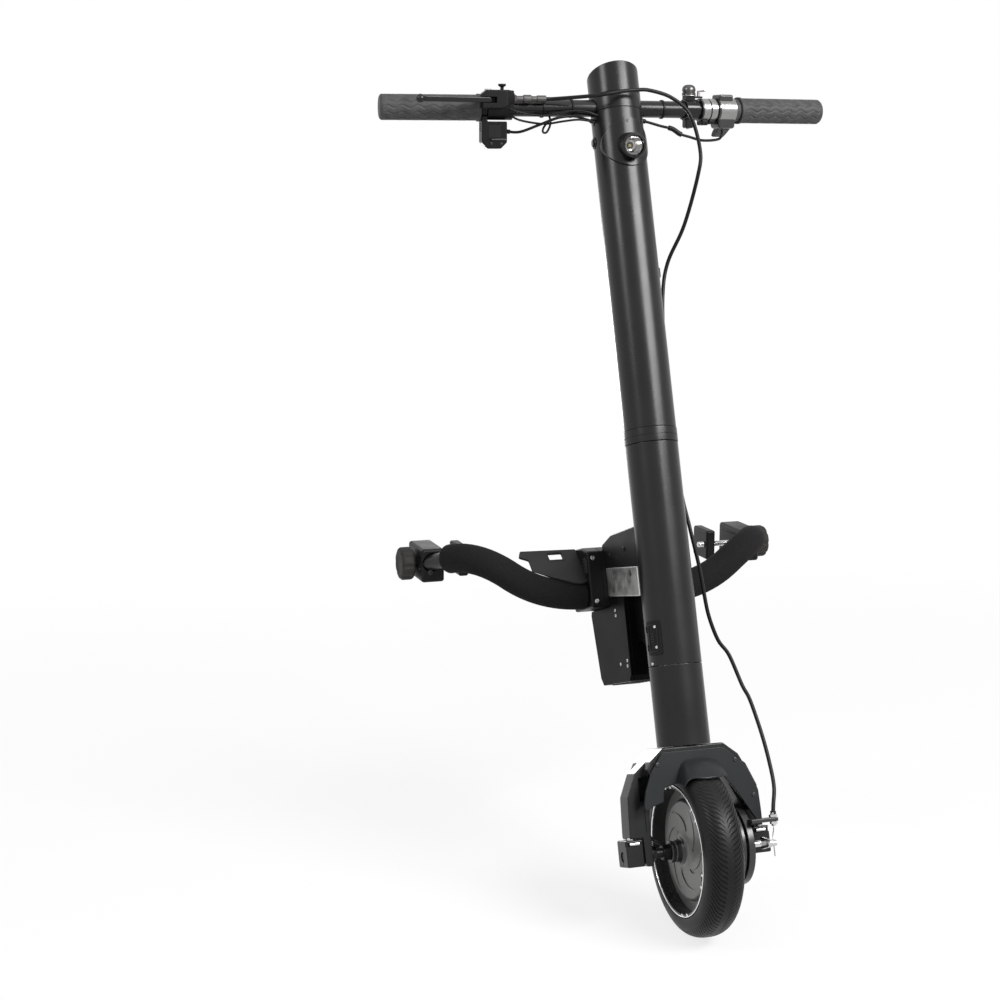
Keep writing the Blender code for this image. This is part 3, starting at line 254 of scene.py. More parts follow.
def rounded_side(radius, low, high, edge):
    """Outside of a round piece from the top down, with small round-overs."""
    inset = edge * CHAMFER_SHARE
    return [
        (radius - edge, high), (radius - inset, high - inset), (radius, high - edge),
        (radius, low + edge), (radius - inset, low + inset), (radius - edge, low),
    ]


def ring(outer, inner, low, high, steps, edge=0.0006):
    return lathe(rounded_side(outer, low, high, edge) + [(inner, low), (inner, high)], steps)


def plug(radius, low, high, steps, edge=0.0006):
    return lathe([(0, high)] + rounded_side(radius, low, high, edge) + [(0, low)], steps)


def reshaped(bm, change):
    """Give points the radius and angle about z that change returns for radius, angle and height."""
    for vert in bm.verts:
        x, y, z = vert.co
        now = change(math.hypot(x, y), math.atan2(y, x), z)
        if now:
            vert.co.x = now[0] * math.cos(now[1])
            vert.co.y = now[0] * math.sin(now[1])
    return bm


PLANES = {
    "xy": Matrix.Identity(4),
    "xz": Matrix(((1, 0, 0, 0), (0, 0, -1, 0), (0, 1, 0, 0), (0, 0, 0, 1))),
    "yz": Matrix(((0, 0, 1, 0), (1, 0, 0, 0), (0, 1, 0, 0), (0, 0, 0, 1))),
}


def slab(outline, low, high, plane="xy", round_off=0.0, segments=3, over=40):
    """Extrude a flat outline from low to high along the plane's own axis."""
    bm = bmesh.new()
    face = bm.faces.new([bm.verts.new((across, up, 0)) for across, up in outline])
    raised = bmesh.ops.extrude_face_region(bm, geom=[face])["geom"]
    tops = [item for item in raised if isinstance(item, bmesh.types.BMVert)]
    bmesh.ops.translate(bm, vec=(0, 0, high - low), verts=tops)
    shifted(bm, z=-high if plane == "xz" else low)
    bmesh.ops.recalc_face_normals(bm, faces=bm.faces)
    if round_off:
        soften(bm, round_off, segments, over)
    return moved(bm, PLANES[plane])


def tube(points, radius, sides=20, radii=None):
    """Sweep a circle along points, with its radius at each of them."""
    bm = bmesh.new()
    points = [Vector(spot) for spot in points]
    radii = radii or [radius] * len(points)
    made = bmesh.ops.create_circle(bm, cap_ends=False, radius=radii[0], segments=sides)["verts"]
    edges = list(bm.edges)
    ends = [list(edges)]
    heading = Vector((0, 0, 1))
    spot = Vector((0, 0, 0))
    size = radii[0]
    for step, point in enumerate(points):
        before = points[max(step - 1, 0)]
        after = points[min(step + 1, len(points) - 1)]
        course = (after - before).normalized()
        if step:
            grown = bmesh.ops.extrude_edge_only(bm, edges=edges)["geom"]
            made = [item for item in grown if isinstance(item, bmesh.types.BMVert)]
            edges = [
                item for item in grown
                if isinstance(item, bmesh.types.BMEdge) and item.verts[0] in made
                and item.verts[1] in made
            ]
        bend = heading.rotation_difference(course).to_matrix().to_4x4()
        place = Matrix.Translation(point) @ bend @ Matrix.Scale(radii[step] / size, 4)
        bmesh.ops.transform(bm, matrix=place @ Matrix.Translation(-spot), verts=made)
        heading = course
        spot = point
        size = radii[step]
    ends.append(edges)
    for loop in ends:
        bmesh.ops.holes_fill(bm, edges=loop, sides=0)
    bmesh.ops.recalc_face_normals(bm, faces=bm.faces)
    return bm


def arc(centre, radius, start, end, steps):
    """Points of an arc, angles in degrees."""
    turns = [math.radians(start + (end - start) * step / steps) for step in range(steps + 1)]
    return [(centre[0] + radius * math.cos(a), centre[1] + radius * math.sin(a)) for a in turns]


def eased(start, corner, end, steps):
    """Points of a curve from start to end that leans towards a corner."""
    shares = [step / steps for step in range(steps + 1)]
    return [start * (1 - t) ** 2 + corner * 2 * t * (1 - t) + end * t ** 2 for t in shares]


def rounded_outline(corners, radius, steps=4):
    """An outline whose corners are rounded off."""
    outline = []
    for step, corner in enumerate(corners):
        corner = Vector(corner)
        back = Vector(corners[step - 1]) - corner
        ahead = Vector(corners[(step + 1) % len(corners)]) - corner
        reach = min(radius, back.length * 0.48, ahead.length * 0.48)
        start = corner + back.normalized() * reach
        end = corner + ahead.normalized() * reach
        outline += [(spot.x, spot.y) for spot in eased(start, corner, end, steps)]
    return outline


def rectangle(x, z, wide, tall):
    """Corners of a rectangle from its lower left one."""
    return [(x, z), (x + wide, z), (x + wide, z + tall), (x, z + tall)]


def mirrored(half):
    """A whole outline from its right half, which runs from the middle of the top down."""
    return list(half) + [(-x, z) for x, z in reversed(half)]


def bent_route(corners, steps=10):
    """Points of a line that rounds each corner from the middle of one side to the next."""
    corners = [Vector(corner) for corner in corners]
    points = [corners[0]]
    for before, corner, after in zip(corners, corners[1:], corners[2:]):
        for spot in eased((before + corner) / 2, corner, (corner + after) / 2, steps):
            if (spot - points[-1]).length > 0.0005:
                points.append(spot)
    points.append(corners[-1])
    return points


def smooth_route(stops, spacing):
    """Points every spacing along a smooth curve through the stops."""
    stops = [Vector(stop) for stop in stops]
    ends = [stops[0] * 2 - stops[1]] + stops + [stops[-1] * 2 - stops[-2]]
    fine = []
    for a, b, c, d in zip(ends, ends[1:], ends[2:], ends[3:]):
        for t in (step / 20 for step in range(20)):
            fine.append(
                0.5 * (
                    2 * b + (c - a) * t + (2 * a - 5 * b + 4 * c - d) * t ** 2
                    + (3 * b - a - 3 * c + d) * t ** 3
                )
            )
    fine.append(stops[-1])
    total = sum((q - p).length for p, q in zip(fine, fine[1:]))
    count = max(2, round(total / spacing))
    points = [fine[0]]
    walked = 0.0
    for p, q in zip(fine, fine[1:]):
        walked += (q - p).length
        if walked >= total / count * len(points) and len(points) < count:
            points.append(q)
    points.append(fine[-1])
    return points


def facing(spot, towards):
    """Matrix that stands a shape's z axis along a direction at a spot."""
    turn = Vector(towards).to_track_quat("Z", "Y").to_matrix().to_4x4()
    return Matrix.Translation(spot) @ turn


def screw(radius, height, spot, towards, socket=0.5):
    """Round screw head with a hexagonal socket, standing on a spot."""
    head = lathe([
        (0, height), (radius * 0.82, height), (radius * 0.95, height * 0.9),
        (radius, height * 0.72), (radius, 0), (0, 0),
    ], 28)
    hole = rod(radius * socket, (0, 0, height * 0.35), (0, 0, height * 1.5), 6)
    return moved(cut(head, hole), facing(spot, towards))


def hex_nut(radius, height, bore, place):
    """Hexagon nut with its corners turned off, its z axis from one face to the other."""
    turning = lathe([
        (0, height), (radius * 0.88, height), (radius * 1.02, height * 0.86),
        (radius * 1.02, height * 0.14), (radius * 0.88, 0), (0, 0),
    ], 36)
    nut = shared(rod(radius, (0, 0, 0), (0, 0, height), 6), turning)
    if bore:
        nut = cut(nut, rod(bore, (0, 0, -height), (0, 0, height * 2), 28))
    return moved(nut, place)


# Pieces

def piece(name, bm, place, finish, body, stands_for=(), crease=35):
    """Write a shape out in the row frame as a finished piece on a body."""
    moved(bm, place)
    mesh = bpy.data.meshes.new(name)
    bm.to_mesh(mesh)
    bm.free()
    mesh.materials.append(finish)
    mesh.shade_smooth()
    mesh.set_sharp_from_angle(angle=math.radians(crease))
    made = bpy.data.objects.new(name, mesh)
    LOOKS.objects.link(made)
    even = made.modifiers.new("even_shading", "WEIGHTED_NORMAL")
    even.keep_sharp = True
    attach(made, body)
    if stands_for:
        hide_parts(*stands_for)


# Finishes

def set_sockets(tree, node, inputs):
    """Give a node's sockets their values, or link them to outputs of other nodes."""
    for name, given in inputs.items():
        if isinstance(given, bpy.types.NodeSocket):
            tree.links.new(given, node.inputs[name])
        else:
            node.inputs[name].default_value = given


def add_node(tree, kind, inputs):
    node = tree.nodes.new("ShaderNode" + kind)
    set_sockets(tree, node, inputs)
    return node


def set_shader(material, inputs):
    tree = material.node_tree
    set_sockets(tree, tree.nodes["Principled BSDF"], inputs)


def new_finish(name, colour, roughness, metallic=0.0, specular=0.5):
    """A Principled material with its even values on the shader's own sockets."""
    material = bpy.data.materials.new(name)
    material.use_nodes = True
    set_shader(material, {
        "Base Color": (*colour, 1.0), "Roughness": roughness, "Metallic": metallic,
        "Specular IOR Level": specular,
    })
    material.node_tree.nodes.new("ShaderNodeTexCoord").name = "place"
    return material


def noise_in(material, scale, detail=2.0, roughness=0.5):
    tree = material.node_tree
    noise = add_node(tree, "TexNoise", {
        "Scale": scale, "Detail": detail, "Roughness": roughness,
        "Vector": tree.nodes["place"].outputs["Object"],
    })
    return noise.outputs["Fac"]


def cells_in(material, scale):
    tree = material.node_tree
    cells = add_node(tree, "TexVoronoi", {
        "Scale": scale, "Vector": tree.nodes["place"].outputs["Object"],
    })
    cells.feature = "SMOOTH_F1"
    return cells.outputs["Distance"]


def stretched(tree, source, before, after):
    """A value carried from one range to another."""
    spread = add_node(tree, "MapRange", {
        "Value": source, "From Min": before[0], "From Max": before[1],
        "To Min": after[0], "To Max": after[1],
    })
    return spread.outputs["Result"]


def vary_roughness(material, source, low, high):
    """Let the roughness wander between two values."""
    spread = stretched(material.node_tree, source, (0.3, 0.7), (low, high))
    set_shader(material, {"Roughness": spread})


def vary_colour(material, source, dark, light):
    """Let the colour wander between two tones."""
    ramp = add_node(material.node_tree, "ValToRGB", {"Fac": source})
    for mark, position, tone in zip(ramp.color_ramp.elements, (0.35, 0.65), (dark, light)):
        mark.position = position
        mark.color = (*tone, 1.0)
    set_shader(material, {"Base Color": ramp.outputs["Color"]})


def emboss(material, source, depth, strength=1.0):
    """Raise the surface by a pattern, chained after any earlier one."""
    tree = material.node_tree
    bump = add_node(tree, "Bump", {"Strength": strength, "Distance": depth, "Height": source})
    earlier = tree.nodes["Principled BSDF"].inputs["Normal"].links
    if earlier:
        set_sockets(tree, bump, {"Normal": earlier[0].from_socket})
    set_shader(material, {"Normal": bump.outputs["Normal"]})


def scaled(colour, factor, lift=0.0):
    return [min(1.0, value * factor + lift) for value in colour]


def coated(name, colour, roughness, specular=0.5, peel=0.00002):
    """Powder coat: a faint orange peel and roughness that wanders."""
    material = new_finish(name, colour, roughness, 0.0, specular)
    vary_roughness(material, noise_in(material, 14, 4), roughness - 0.04, roughness + 0.05)
    vary_colour(material, noise_in(material, 9, 5), colour, scaled(colour, 1.35, 0.001))
    emboss(material, noise_in(material, 1500, 3), peel, 0.35)
    return material


def moulded(name, colour, roughness, grain, depth, specular):
    """Moulded plastic with a fine spark-eroded grain."""
    material = new_finish(name, colour, roughness, 0.0, specular)
    vary_roughness(material, noise_in(material, 30, 3), roughness - 0.05, roughness + 0.06)
    vary_colour(material, noise_in(material, 18, 4), colour, scaled(colour, 1.4, 0.001))
    emboss(material, cells_in(material, grain), depth, 0.5)
    return material


def machined(name, colour, roughness, grain=700, depth=0.00003):
    """Bare metal with fine tool marks."""
    material = new_finish(name, colour, roughness, 1.0)
    vary_roughness(material, noise_in(material, 60, 5), roughness - 0.07, roughness + 0.10)
    vary_colour(material, noise_in(material, 45, 4), scaled(colour, 0.86), colour)
    emboss(material, noise_in(material, grain, 4, 0.6), depth, 0.4)
    return material


def foamed(name, colour, roughness):
    """Closed-cell foam skin: small pits over soft dimples."""
    material = new_finish(name, colour, roughness, 0.0, 0.12)
    vary_colour(material, noise_in(material, 420, 4, 0.7), colour, scaled(colour, 1.5))
    emboss(material, cells_in(material, 900), 0.00018, 0.6)
    emboss(material, noise_in(material, 45, 3), 0.0004, 0.3)
    return material


def rubbery(name, colour, roughness, grain=900, depth=0.0001):
    material = new_finish(name, colour, roughness, 0.0, 0.2)
    vary_roughness(material, noise_in(material, 35, 4), roughness - 0.08, roughness + 0.06)
    vary_colour(material, noise_in(material, 70, 5, 0.65), colour, scaled(colour, 1.6))
    emboss(material, noise_in(material, grain, 4, 0.6), depth, 0.5)
    return material


def lens_finish():
    """Smoky clear plastic."""
    material = new_finish("clear_lens", (0.70, 0.69, 0.67), 0.04)
    set_shader(material, {"Transmission Weight": 1.0, "IOR": 1.45})
    emboss(material, noise_in(material, 90, 2), 0.00002, 0.2)
    return material


def display_finish():
    """Dark window over the charge display."""
    material = new_finish("display_glass", (0.004, 0.004, 0.005), 0.06)
    set_shader(material, {"Coat Weight": 0.6, "Coat Roughness": 0.03})
    vary_roughness(material, noise_in(material, 40, 3), 0.04, 0.09)
    return material


COLUMN_PAINT = coated("column_paint", (0.0036, 0.0036, 0.0037), 0.28, 0.30)
FORK_PAINT = coated("fork_paint", (0.008, 0.0085, 0.0085), 0.24, 0.25)
FAIRING_PAINT = coated("fairing_paint", (0.0110, 0.0126, 0.0134), 0.36, 0.18)
HUB_PAINT = coated("hub_paint", (0.014, 0.014, 0.0135), 0.28)
COVER_GREY = coated("cover_grey", (0.110, 0.112, 0.104), 0.36)
CASE_BLACK = coated("case_black", (0.0024, 0.0024, 0.0026), 0.34, 0.03)
GLOSS_BLACK = coated("gloss_black", (0.005, 0.005, 0.0052), 0.18, 0.3, 0.000005)
BATTERY_FILM = coated("battery_film", (0.05, 0.10, 0.25), 0.45, 0.5, 0.00004)
MOULDED_BLACK = moulded("moulded_black", (0.0055, 0.0055, 0.0058), 0.40, 1100, 0.00006, 0.14)
KNOB_PLASTIC = moulded("knob_plastic", (0.022, 0.021, 0.020), 0.62, 900, 0.0001, 0.15)
CABLE_JACKET = moulded("cable_jacket", (0.005, 0.005, 0.0052), 0.34, 1600, 0.00002, 0.14)
WING_BLACK = moulded("wing_black", (0.018, 0.018, 0.019), 0.50, 1000, 0.00005, 0.2)
GLOSS_CASE = moulded("gloss_case", (0.006, 0.006, 0.0062), 0.20, 1400, 0.00001, 0.7)
ALLOY_GREY = machined("alloy_grey", (0.60, 0.60, 0.585), 0.42, 1400, 0.000012)
BRIGHT_STEEL = machined("bright_steel", (0.62, 0.62, 0.63), 0.24)
DARK_STEEL = machined("dark_steel", (0.05, 0.05, 0.052), 0.36)
BLACK_NUT = machined("black_nut", (0.035, 0.035, 0.036), 0.38, 900, 0.00002)
RIM_BRIGHT = machined("rim_bright", (0.88, 0.88, 0.88), 0.20, 500, 0.000005)
SATIN_ALLOY = machined("satin_alloy", (0.095, 0.093, 0.090), 0.34, 1200, 0.00002)
# Pale metal used only for the throttle bands; its light tone is partly painted highlight, standing
# in for the bright reflection on the glossy case.
HIGHLIGHT_BAND_METAL = machined("highlight_band_metal", (0.30, 0.30, 0.29), 0.26, 1200, 0.00001)
REFLECTOR = machined("reflector", (0.75, 0.75, 0.76), 0.12, 300, 0.00001)
COPPER_CORE = machined("copper_core", (0.45, 0.20, 0.08), 0.38)
FOAM_BLACK = foamed("foam_black", (0.008, 0.008, 0.0085), 0.92)
GRIP_RUBBER = rubbery("grip_rubber", (0.040, 0.040, 0.041), 0.55)
TYRE_RUBBER = rubbery("tyre_rubber", (0.0040, 0.0040, 0.0037), 0.42, 500, 0.00022)
BRAKE_LINING = rubbery("brake_lining", (0.12, 0.11, 0.10), 0.8)
CLEAR_LENS = lens_finish()
DISPLAY_GLASS = display_finish()
LAMP_CHIP = new_finish("lamp_chip", (0.75, 0.68, 0.30), 0.35)
emboss(LAMP_CHIP, noise_in(LAMP_CHIP, 600, 3), 0.00005, 0.4)


# Column that turns in the sleeve

def bar_clearance():
    return rod_x(BAR_RADIUS + 0.0008, -0.05, 0.05, 48, z=BAR_STATION)


def in_steer(bm, place):
    """Bring a shape from another frame into the leaning frame."""
    return moved(bm, STEER.inverted(), place)


def button_spot(radius, angle=8.0, station=0.912):
    """A place on the power button's axis, which points left and a little back."""
    a = math.radians(angle)
    return (-radius * math.cos(a), radius * math.sin(a), station)


def column_pieces():
    lower = ring(COLUMN_RADIUS, COLUMN_BORE, CROWN_TOP + GAP, SLEEVE_BOTTOM - TURNING_GAP, 120)
    collar = cut(
        ring(COLUMN_RADIUS + 0.0005, COLUMN_BORE, SLEEVE_TOP + TURNING_GAP, COLLAR_TOP, 120),
        lathe([(0.040, 0.5203), (0.040, 0.5195), (0.0334, 0.5195), (0.0334, 0.5203)], 120),
    )
    upper = cut(
        ring(COLUMN_RADIUS, 0.0309, COLLAR_TOP + GAP, BAND_BOTTOM, 144),
        bar_clearance(),
        in_steer(rod(0.0168, (0, 0, -0.03), (0, 0, 0.01), 40), LAMP),
        rod(0.0053, button_spot(0.025), button_spot(0.040), 32),
    )
    band = joined(
        plug(COLUMN_RADIUS, BAND_BOTTOM + GAP, BAND_TOP - GAP, 144),
        rod(0.0306, (0, 0, 0.926), (0, 0, 0.951), 64),
    )
    band = cut(band, bar_clearance())
    for name, shape, node in (
        ("lower_column", lower, "lower_tube"), ("clamp_collar", collar, "collar"),
        ("battery_column", upper, "upper_tube"), ("bar_stem", band, "stem_band"),
    ):
        piece(name, shape, STEER, COLUMN_PAINT, "column", [node])


def cap_pieces():
    """Slanted cap with the display let into it."""
    cap = cut(
        plug(COLUMN_RADIUS, BAND_TOP, 1.030, 144),
        in_steer(box((-0.06, -0.06, 0), (0.06, 0.06, 0.06)), DISPLAY),
    )
    soften(cap, 0.0012, 3, 50)
    cap = cut(cap, in_steer(rod(0.0285, (0, 0, -0.0020), (0, 0, 0.01), 96), DISPLAY))
    piece("display_cap", cap, STEER, COLUMN_PAINT, "column", ["top_cap"])
    glass = plug(0.0281, -0.0017, -0.0004, 96, 0.0004)
    piece("display_window", glass, DISPLAY, DISPLAY_GLASS, "column",
          ["display_glass"])


def lamp_pieces():
    """Round bezel wrapped on the column, the barrel that stands out of it, and the lens."""
    barrel = lathe([
        (0, 0.0032), (0.0136, 0.0032), (0.0158, 0.0030), (0.0164, 0.0022), (0.0165, 0.0008),
        (0.0165, -0.0240), (0, -0.0240),
    ], 80)
    bowl = lathe([
        (0, 0.006), (0.0131, 0.006), (0.0131, -0.0009), (0.0118, -0.0012), (0.0105, -0.0050),
        (0.0060, -0.0120), (0, -0.0130),
    ], 80)
    bezel = shared(
        ring(COLUMN_RADIUS + 0.0026, COLUMN_RADIUS + GAP, 0.866, 0.938, 160),
        rod(0.032, (0, -0.060, 0.902), (0, -0.004, 0.902), 96),
    )
    bezel = cut(joined(bezel, in_steer(barrel, LAMP)), in_steer(bowl, LAMP))
    piece("lamp_bezel", bezel, STEER, COLUMN_PAINT, "column", ["headlight_housing"])

    outer = COLUMN_RADIUS + 0.0025
    screws = [screw(0.0017, 0.0009, (0, -outer, s), FORWARD) for s in (0.9290, 0.8748)]
    for _, side in SIDES:
        spot = (side * COLUMN_RADIUS * 0.995, -0.002, 0.9350)
        screws.append(screw(0.0020, 0.0011, spot, (side, 0, 0)))
    piece("bezel_screws", together(*screws), STEER, DARK_STEEL, "column")

    dish = lathe([
        (0.0117, -0.0010), (0.0104, -0.0048), (0.0059, -0.0117), (0.0032, -0.0126),
        (0.0030, -0.0128), (0.0062, -0.0119), (0.0106, -0.0049), (0.01179, -0.0011),
    ], 80)
    piece("lamp_reflector", dish, LAMP, REFLECTOR, "column")
    chip = box((-0.0016, -0.0016, -0.0127), (0.0016, 0.0016, -0.0119), 0.0002)
    piece("lamp_chip", chip, LAMP, LAMP_CHIP, "column")
    lens = lathe([
        (0, 0.0022), (0.0030, 0.0021), (0.0060, 0.0018), (0.0090, 0.0014), (0.0115, 0.0009),
        (0.0126, 0.0005), (0.0128, 0.0001), (0.0128, -0.0006), (0, -0.0006),
    ], 80)
    piece("lamp_lens", lens, LAMP, CLEAR_LENS, "column", ["headlight_lens"])


def power_button():
    outward = Vector(button_spot(1.0)) - Vector(button_spot(0.0))
    place = STEER @ facing(button_spot(COLUMN_RADIUS), outward)
    collar = lathe([
        (0.0078, 0.0008), (0.0081, 0.0004), (0.0081, -0.0006), (0.0056, -0.0006), (0.0056, 0.0008),
    ], 48)
    piece("power_button_ring", collar, place, BLACK_NUT, "column")
    button = lathe([
        (0, 0.0022), (0.0036, 0.0022), (0.0046, 0.0026), (0.0050, 0.0022), (0.0050, -0.0021),
        (0, -0.0021),
    ], 40)
    piece("power_button_cap", button, place, GLOSS_BLACK, "power_button",
          ["power_button"])


def battery():
    """Wrapped pack with foam rings at its ends."""

    def wrapped(r, angle, _):
        if r > 0.029:
            return r - 0.0006 * max(0.0, math.cos(angle * 7)) ** 6, angle

    cells = reshaped(plug(0.0296, 0.5640, 0.8560, 96, 0.0015), wrapped)
    piece("battery_wrap", cells, STEER, BATTERY_FILM, "column", ["battery_pack"])
    rings = together(*(ring(0.0300, 0.0200, low, low + 0.0060, 96) for low in (0.5600, 0.8540)))
    piece("battery_rings", rings, STEER, FOAM_BLACK, "column")


# Handlebar and its controls

LEVER_PIVOT = (-0.1770, -0.0300, 0.0090)
LEVER_HALF = 0.0036
PARKING_SPOT = (-0.1570, -0.0220)
ADJUSTER_SPOT = (-0.1400, -0.0170, 0.0110)
PERCH_TOP = 0.0214
POD_FRONT = -0.0119
BELL_SPOT = (0.1085, 0.0015, 0)


def bar_point(x):
    """A point of the handlebar's line in the level frame, for one side."""
    if abs(x) <= BAR_BEND_AT:
        return Vector((x, 0, 0))
    return Vector((x, (abs(x) - BAR_BEND_AT) * math.tan(BAR_SWEEP), 0))


def handlebar_tube():
    half = [(BAR_BEND_AT, 0, 0), tuple(bar_point(0.100)), tuple(bar_point(BAR_HALF))]
    left = [(-x, y, z) for x, y, z in reversed(half)]
    route = bent_route(left + [(0, 0, 0)] + half, 10)
    piece("handlebar_tube", tube(route, BAR_RADIUS, 48), LEVEL, COLUMN_PAINT, "column",
          ["handlebar"])


def grip_shape():
    """Rubber grip with a ring at its inner end and wavy grooves along it."""
    inner = 0.1820
    outer = 0.3127
    bore_end = 0.3123
    radius = 0.0165
    shoulder = 0.0177
    bore = BAR_RADIUS + GAP
    rows = 84
    top = outer - 0.0030
    bottom = inner + 0.0052
    lane_columns = 9
    columns = 12 * lane_columns
    profile = [(0, outer), (0.0110, outer), (0.0138, outer - 0.0004), (0.0155, outer - 0.0014)]
    profile += [(radius, top + (bottom - top) * step / rows) for step in range(rows + 1)]
    profile += [
        (radius + 0.0002, inner + 0.0048), (shoulder - 0.0004, inner + 0.0043),
        (shoulder, inner + 0.0038), (shoulder, inner + 0.0006), (shoulder - 0.0006, inner),
        (bore, inner), (bore, bore_end), (0, bore_end),
    ]

    def grooved(r, angle, z):
        if r <= radius - 0.0002 or not bottom - 0.0005 < z < top + 0.0005:
            return None
        column = round(angle / math.tau * columns) % lane_columns
        ends = max(0.0, min(1.0, (z - bottom) / 0.006, (top - z) / 0.006))
        sink = 0.0008 * ends if column < 2 else 0.0
        return radius - sink, angle + 0.12 * ends * math.sin(math.tau * z / 0.0200)

    return reshaped(lathe(profile, columns), grooved)


def grips():
    for name, place in (
        ("left", LEFT_BAR @ ALONG_MINUS_X), ("right", RIGHT_BAR @ ALONG_X),
    ):
        piece("grip_" + name + "_rubber", grip_shape(), place, GRIP_RUBBER, "column",
              ["grip_" + name], 50)


def brake_perch():
    plan = [
        (-0.1735, 0.006), (-0.1735, -0.0185), (-0.1850, -0.0185), (-0.1850, -0.0370),
        (-0.1520, -0.0370), (-0.1400, -0.0230), (-0.1400, 0.006),
    ]
    swing = [
        (-0.200, -0.0120), (-0.200, -0.050), (-0.1660, -0.050), (-0.1660, -0.0200),
        (-0.1720, -0.0120),
    ]
    corners = [
        [(-0.1620, -0.0025), (-0.1340, -0.0025), (-0.1340, 0.0105)],
        [(-0.1500, 0.0230), (-0.1360, 0.0230), (-0.1360, 0.0140)],
        [(-0.1765, 0.0230), (-0.1870, 0.0230), (-0.1870, 0.0150)],
    ]
    x, y, middle = LEVER_PIVOT
    reach = LEVER_HALF + GAP
    perch = joined(
        rod_x(0.0155, -0.1735, -0.1400, 72, 0.0008),
        slab(rounded_outline(plan, 0.0022), -0.0020, 0.0215, "xy", 0.0018),
    )
    perch = cut(
        perch, bar_hole(-0.19, -0.12), *(slab(corner, -0.050, -0.0160, "xz") for corner in corners),
        slab(swing, middle - reach, middle + reach),
    )
    perch = joined(perch, rod(0.0025, (x, y, 0.0), (x, y, 0.0200)))
    perch = cut(
        perch, rod(0.0026, (*PARKING_SPOT, 0.0135), (*PARKING_SPOT, 0.03)),
        box((-0.18, 0.009, -0.0005), (-0.13, 0.03, 0.0005)),
    )
    piece("brake_perch_body", perch, LEFT_BAR, MOULDED_BLACK, "column",
          ["brake_perch"])
    nut = hex_nut(0.0050, 0.0030, 0.0037, facing((-0.1402, *ADJUSTER_SPOT[1:]), RIGHT))
    piece("adjuster_nut", nut, LEFT_BAR, SATIN_ALLOY, "column")
    fittings = together(
        screw(0.0046, 0.0014, (x, y, PERCH_TOP), UP),
        screw(0.0030, 0.0024, (-0.1600, 0.0142, -0.0045), (0, 1, -0.35)),
        screw(0.0022, 0.0012, (-0.1460, -0.0120, PERCH_TOP), UP),
    )
    piece("perch_screws", fittings, LEFT_BAR, BRIGHT_STEEL, "column")


def brake_lever():
    blade = arc((0, 0), 0.0068, -70, 110, 24) + [
        (-0.0110, 0.0020), (-0.0220, -0.0015), (-0.0360, -0.0065), (-0.0500, -0.0125),
        (-0.0650, -0.0190), (-0.0800, -0.0260), (-0.0870, -0.0285), (-0.0905, -0.0300),
        (-0.0920, -0.0350), (-0.0800, -0.0345), (-0.0640, -0.0290), (-0.0480, -0.0225),
        (-0.0340, -0.0170), (-0.0200, -0.0120), (-0.0090, -0.0085),
    ]
    groove = [(-0.0300, -0.0080), (-0.0680, -0.0240), (-0.0680, -0.0265), (-0.0300, -0.0110)]
    knob = bmesh.new()
    bmesh.ops.create_uvsphere(knob, u_segments=40, v_segments=28, radius=0.0058)
    lever = joined(
        slab(blade, -LEVER_HALF, LEVER_HALF, "xy", 0.0015, 3, 50), shifted(knob, -0.0915, -0.0325)
    )
    lever = cut(
        lever, rod(0.0028, (0, 0, -0.01), (0, 0, 0.01), 40),
        *(slab(groove, z - 0.0004, z + 0.0004) for z in (-LEVER_HALF, LEVER_HALF)),
    )
    piece("brake_lever_blade", lever, LEFT_BAR @ placed(*LEVER_PIVOT), GLOSS_BLACK, "brake_lever",
          ["brake_lever"])


def parking_and_adjuster():
    button = lathe([
        (0, 0.0295), (0.0040, 0.0295), (0.0049, 0.0293), (0.0052, 0.0288), (0.0051, 0.0272),
        (0.0044, 0.0264), (0.0028, 0.0256), (0.0023, 0.0248), (0.0023, 0.0170), (0, 0.0170),
    ], 48)
    piece("parking_button", button, LEFT_BAR @ placed(*PARKING_SPOT, 0), GLOSS_BLACK,
          "parking_knob", ["parking_knob"])

    columns = 96

    def knurled(r, angle, _):
        if r > 0.0050 and round(angle / math.tau * columns) % 6 == 0:
            return r - 0.0002, angle

    barrel = reshaped(lathe([
        (0.0028, 0.0415), (0.0042, 0.0415), (0.0046, 0.0411), (0.0046, 0.0300), (0.0036, 0.0290),
        (0.0036, 0.0230), (0.0048, 0.0221), (0.0052, 0.0216), (0.0052, 0.0124), (0.0048, 0.0119),
        (0.0038, 0.0110), (0.0038, 0.0003), (0.0028, 0.0003),
    ], columns), knurled)
    piece("adjuster_barrel", barrel, LEFT_BAR @ placed(*ADJUSTER_SPOT) @ ALONG_X, SATIN_ALLOY,
          "column", ["cable_adjuster"])


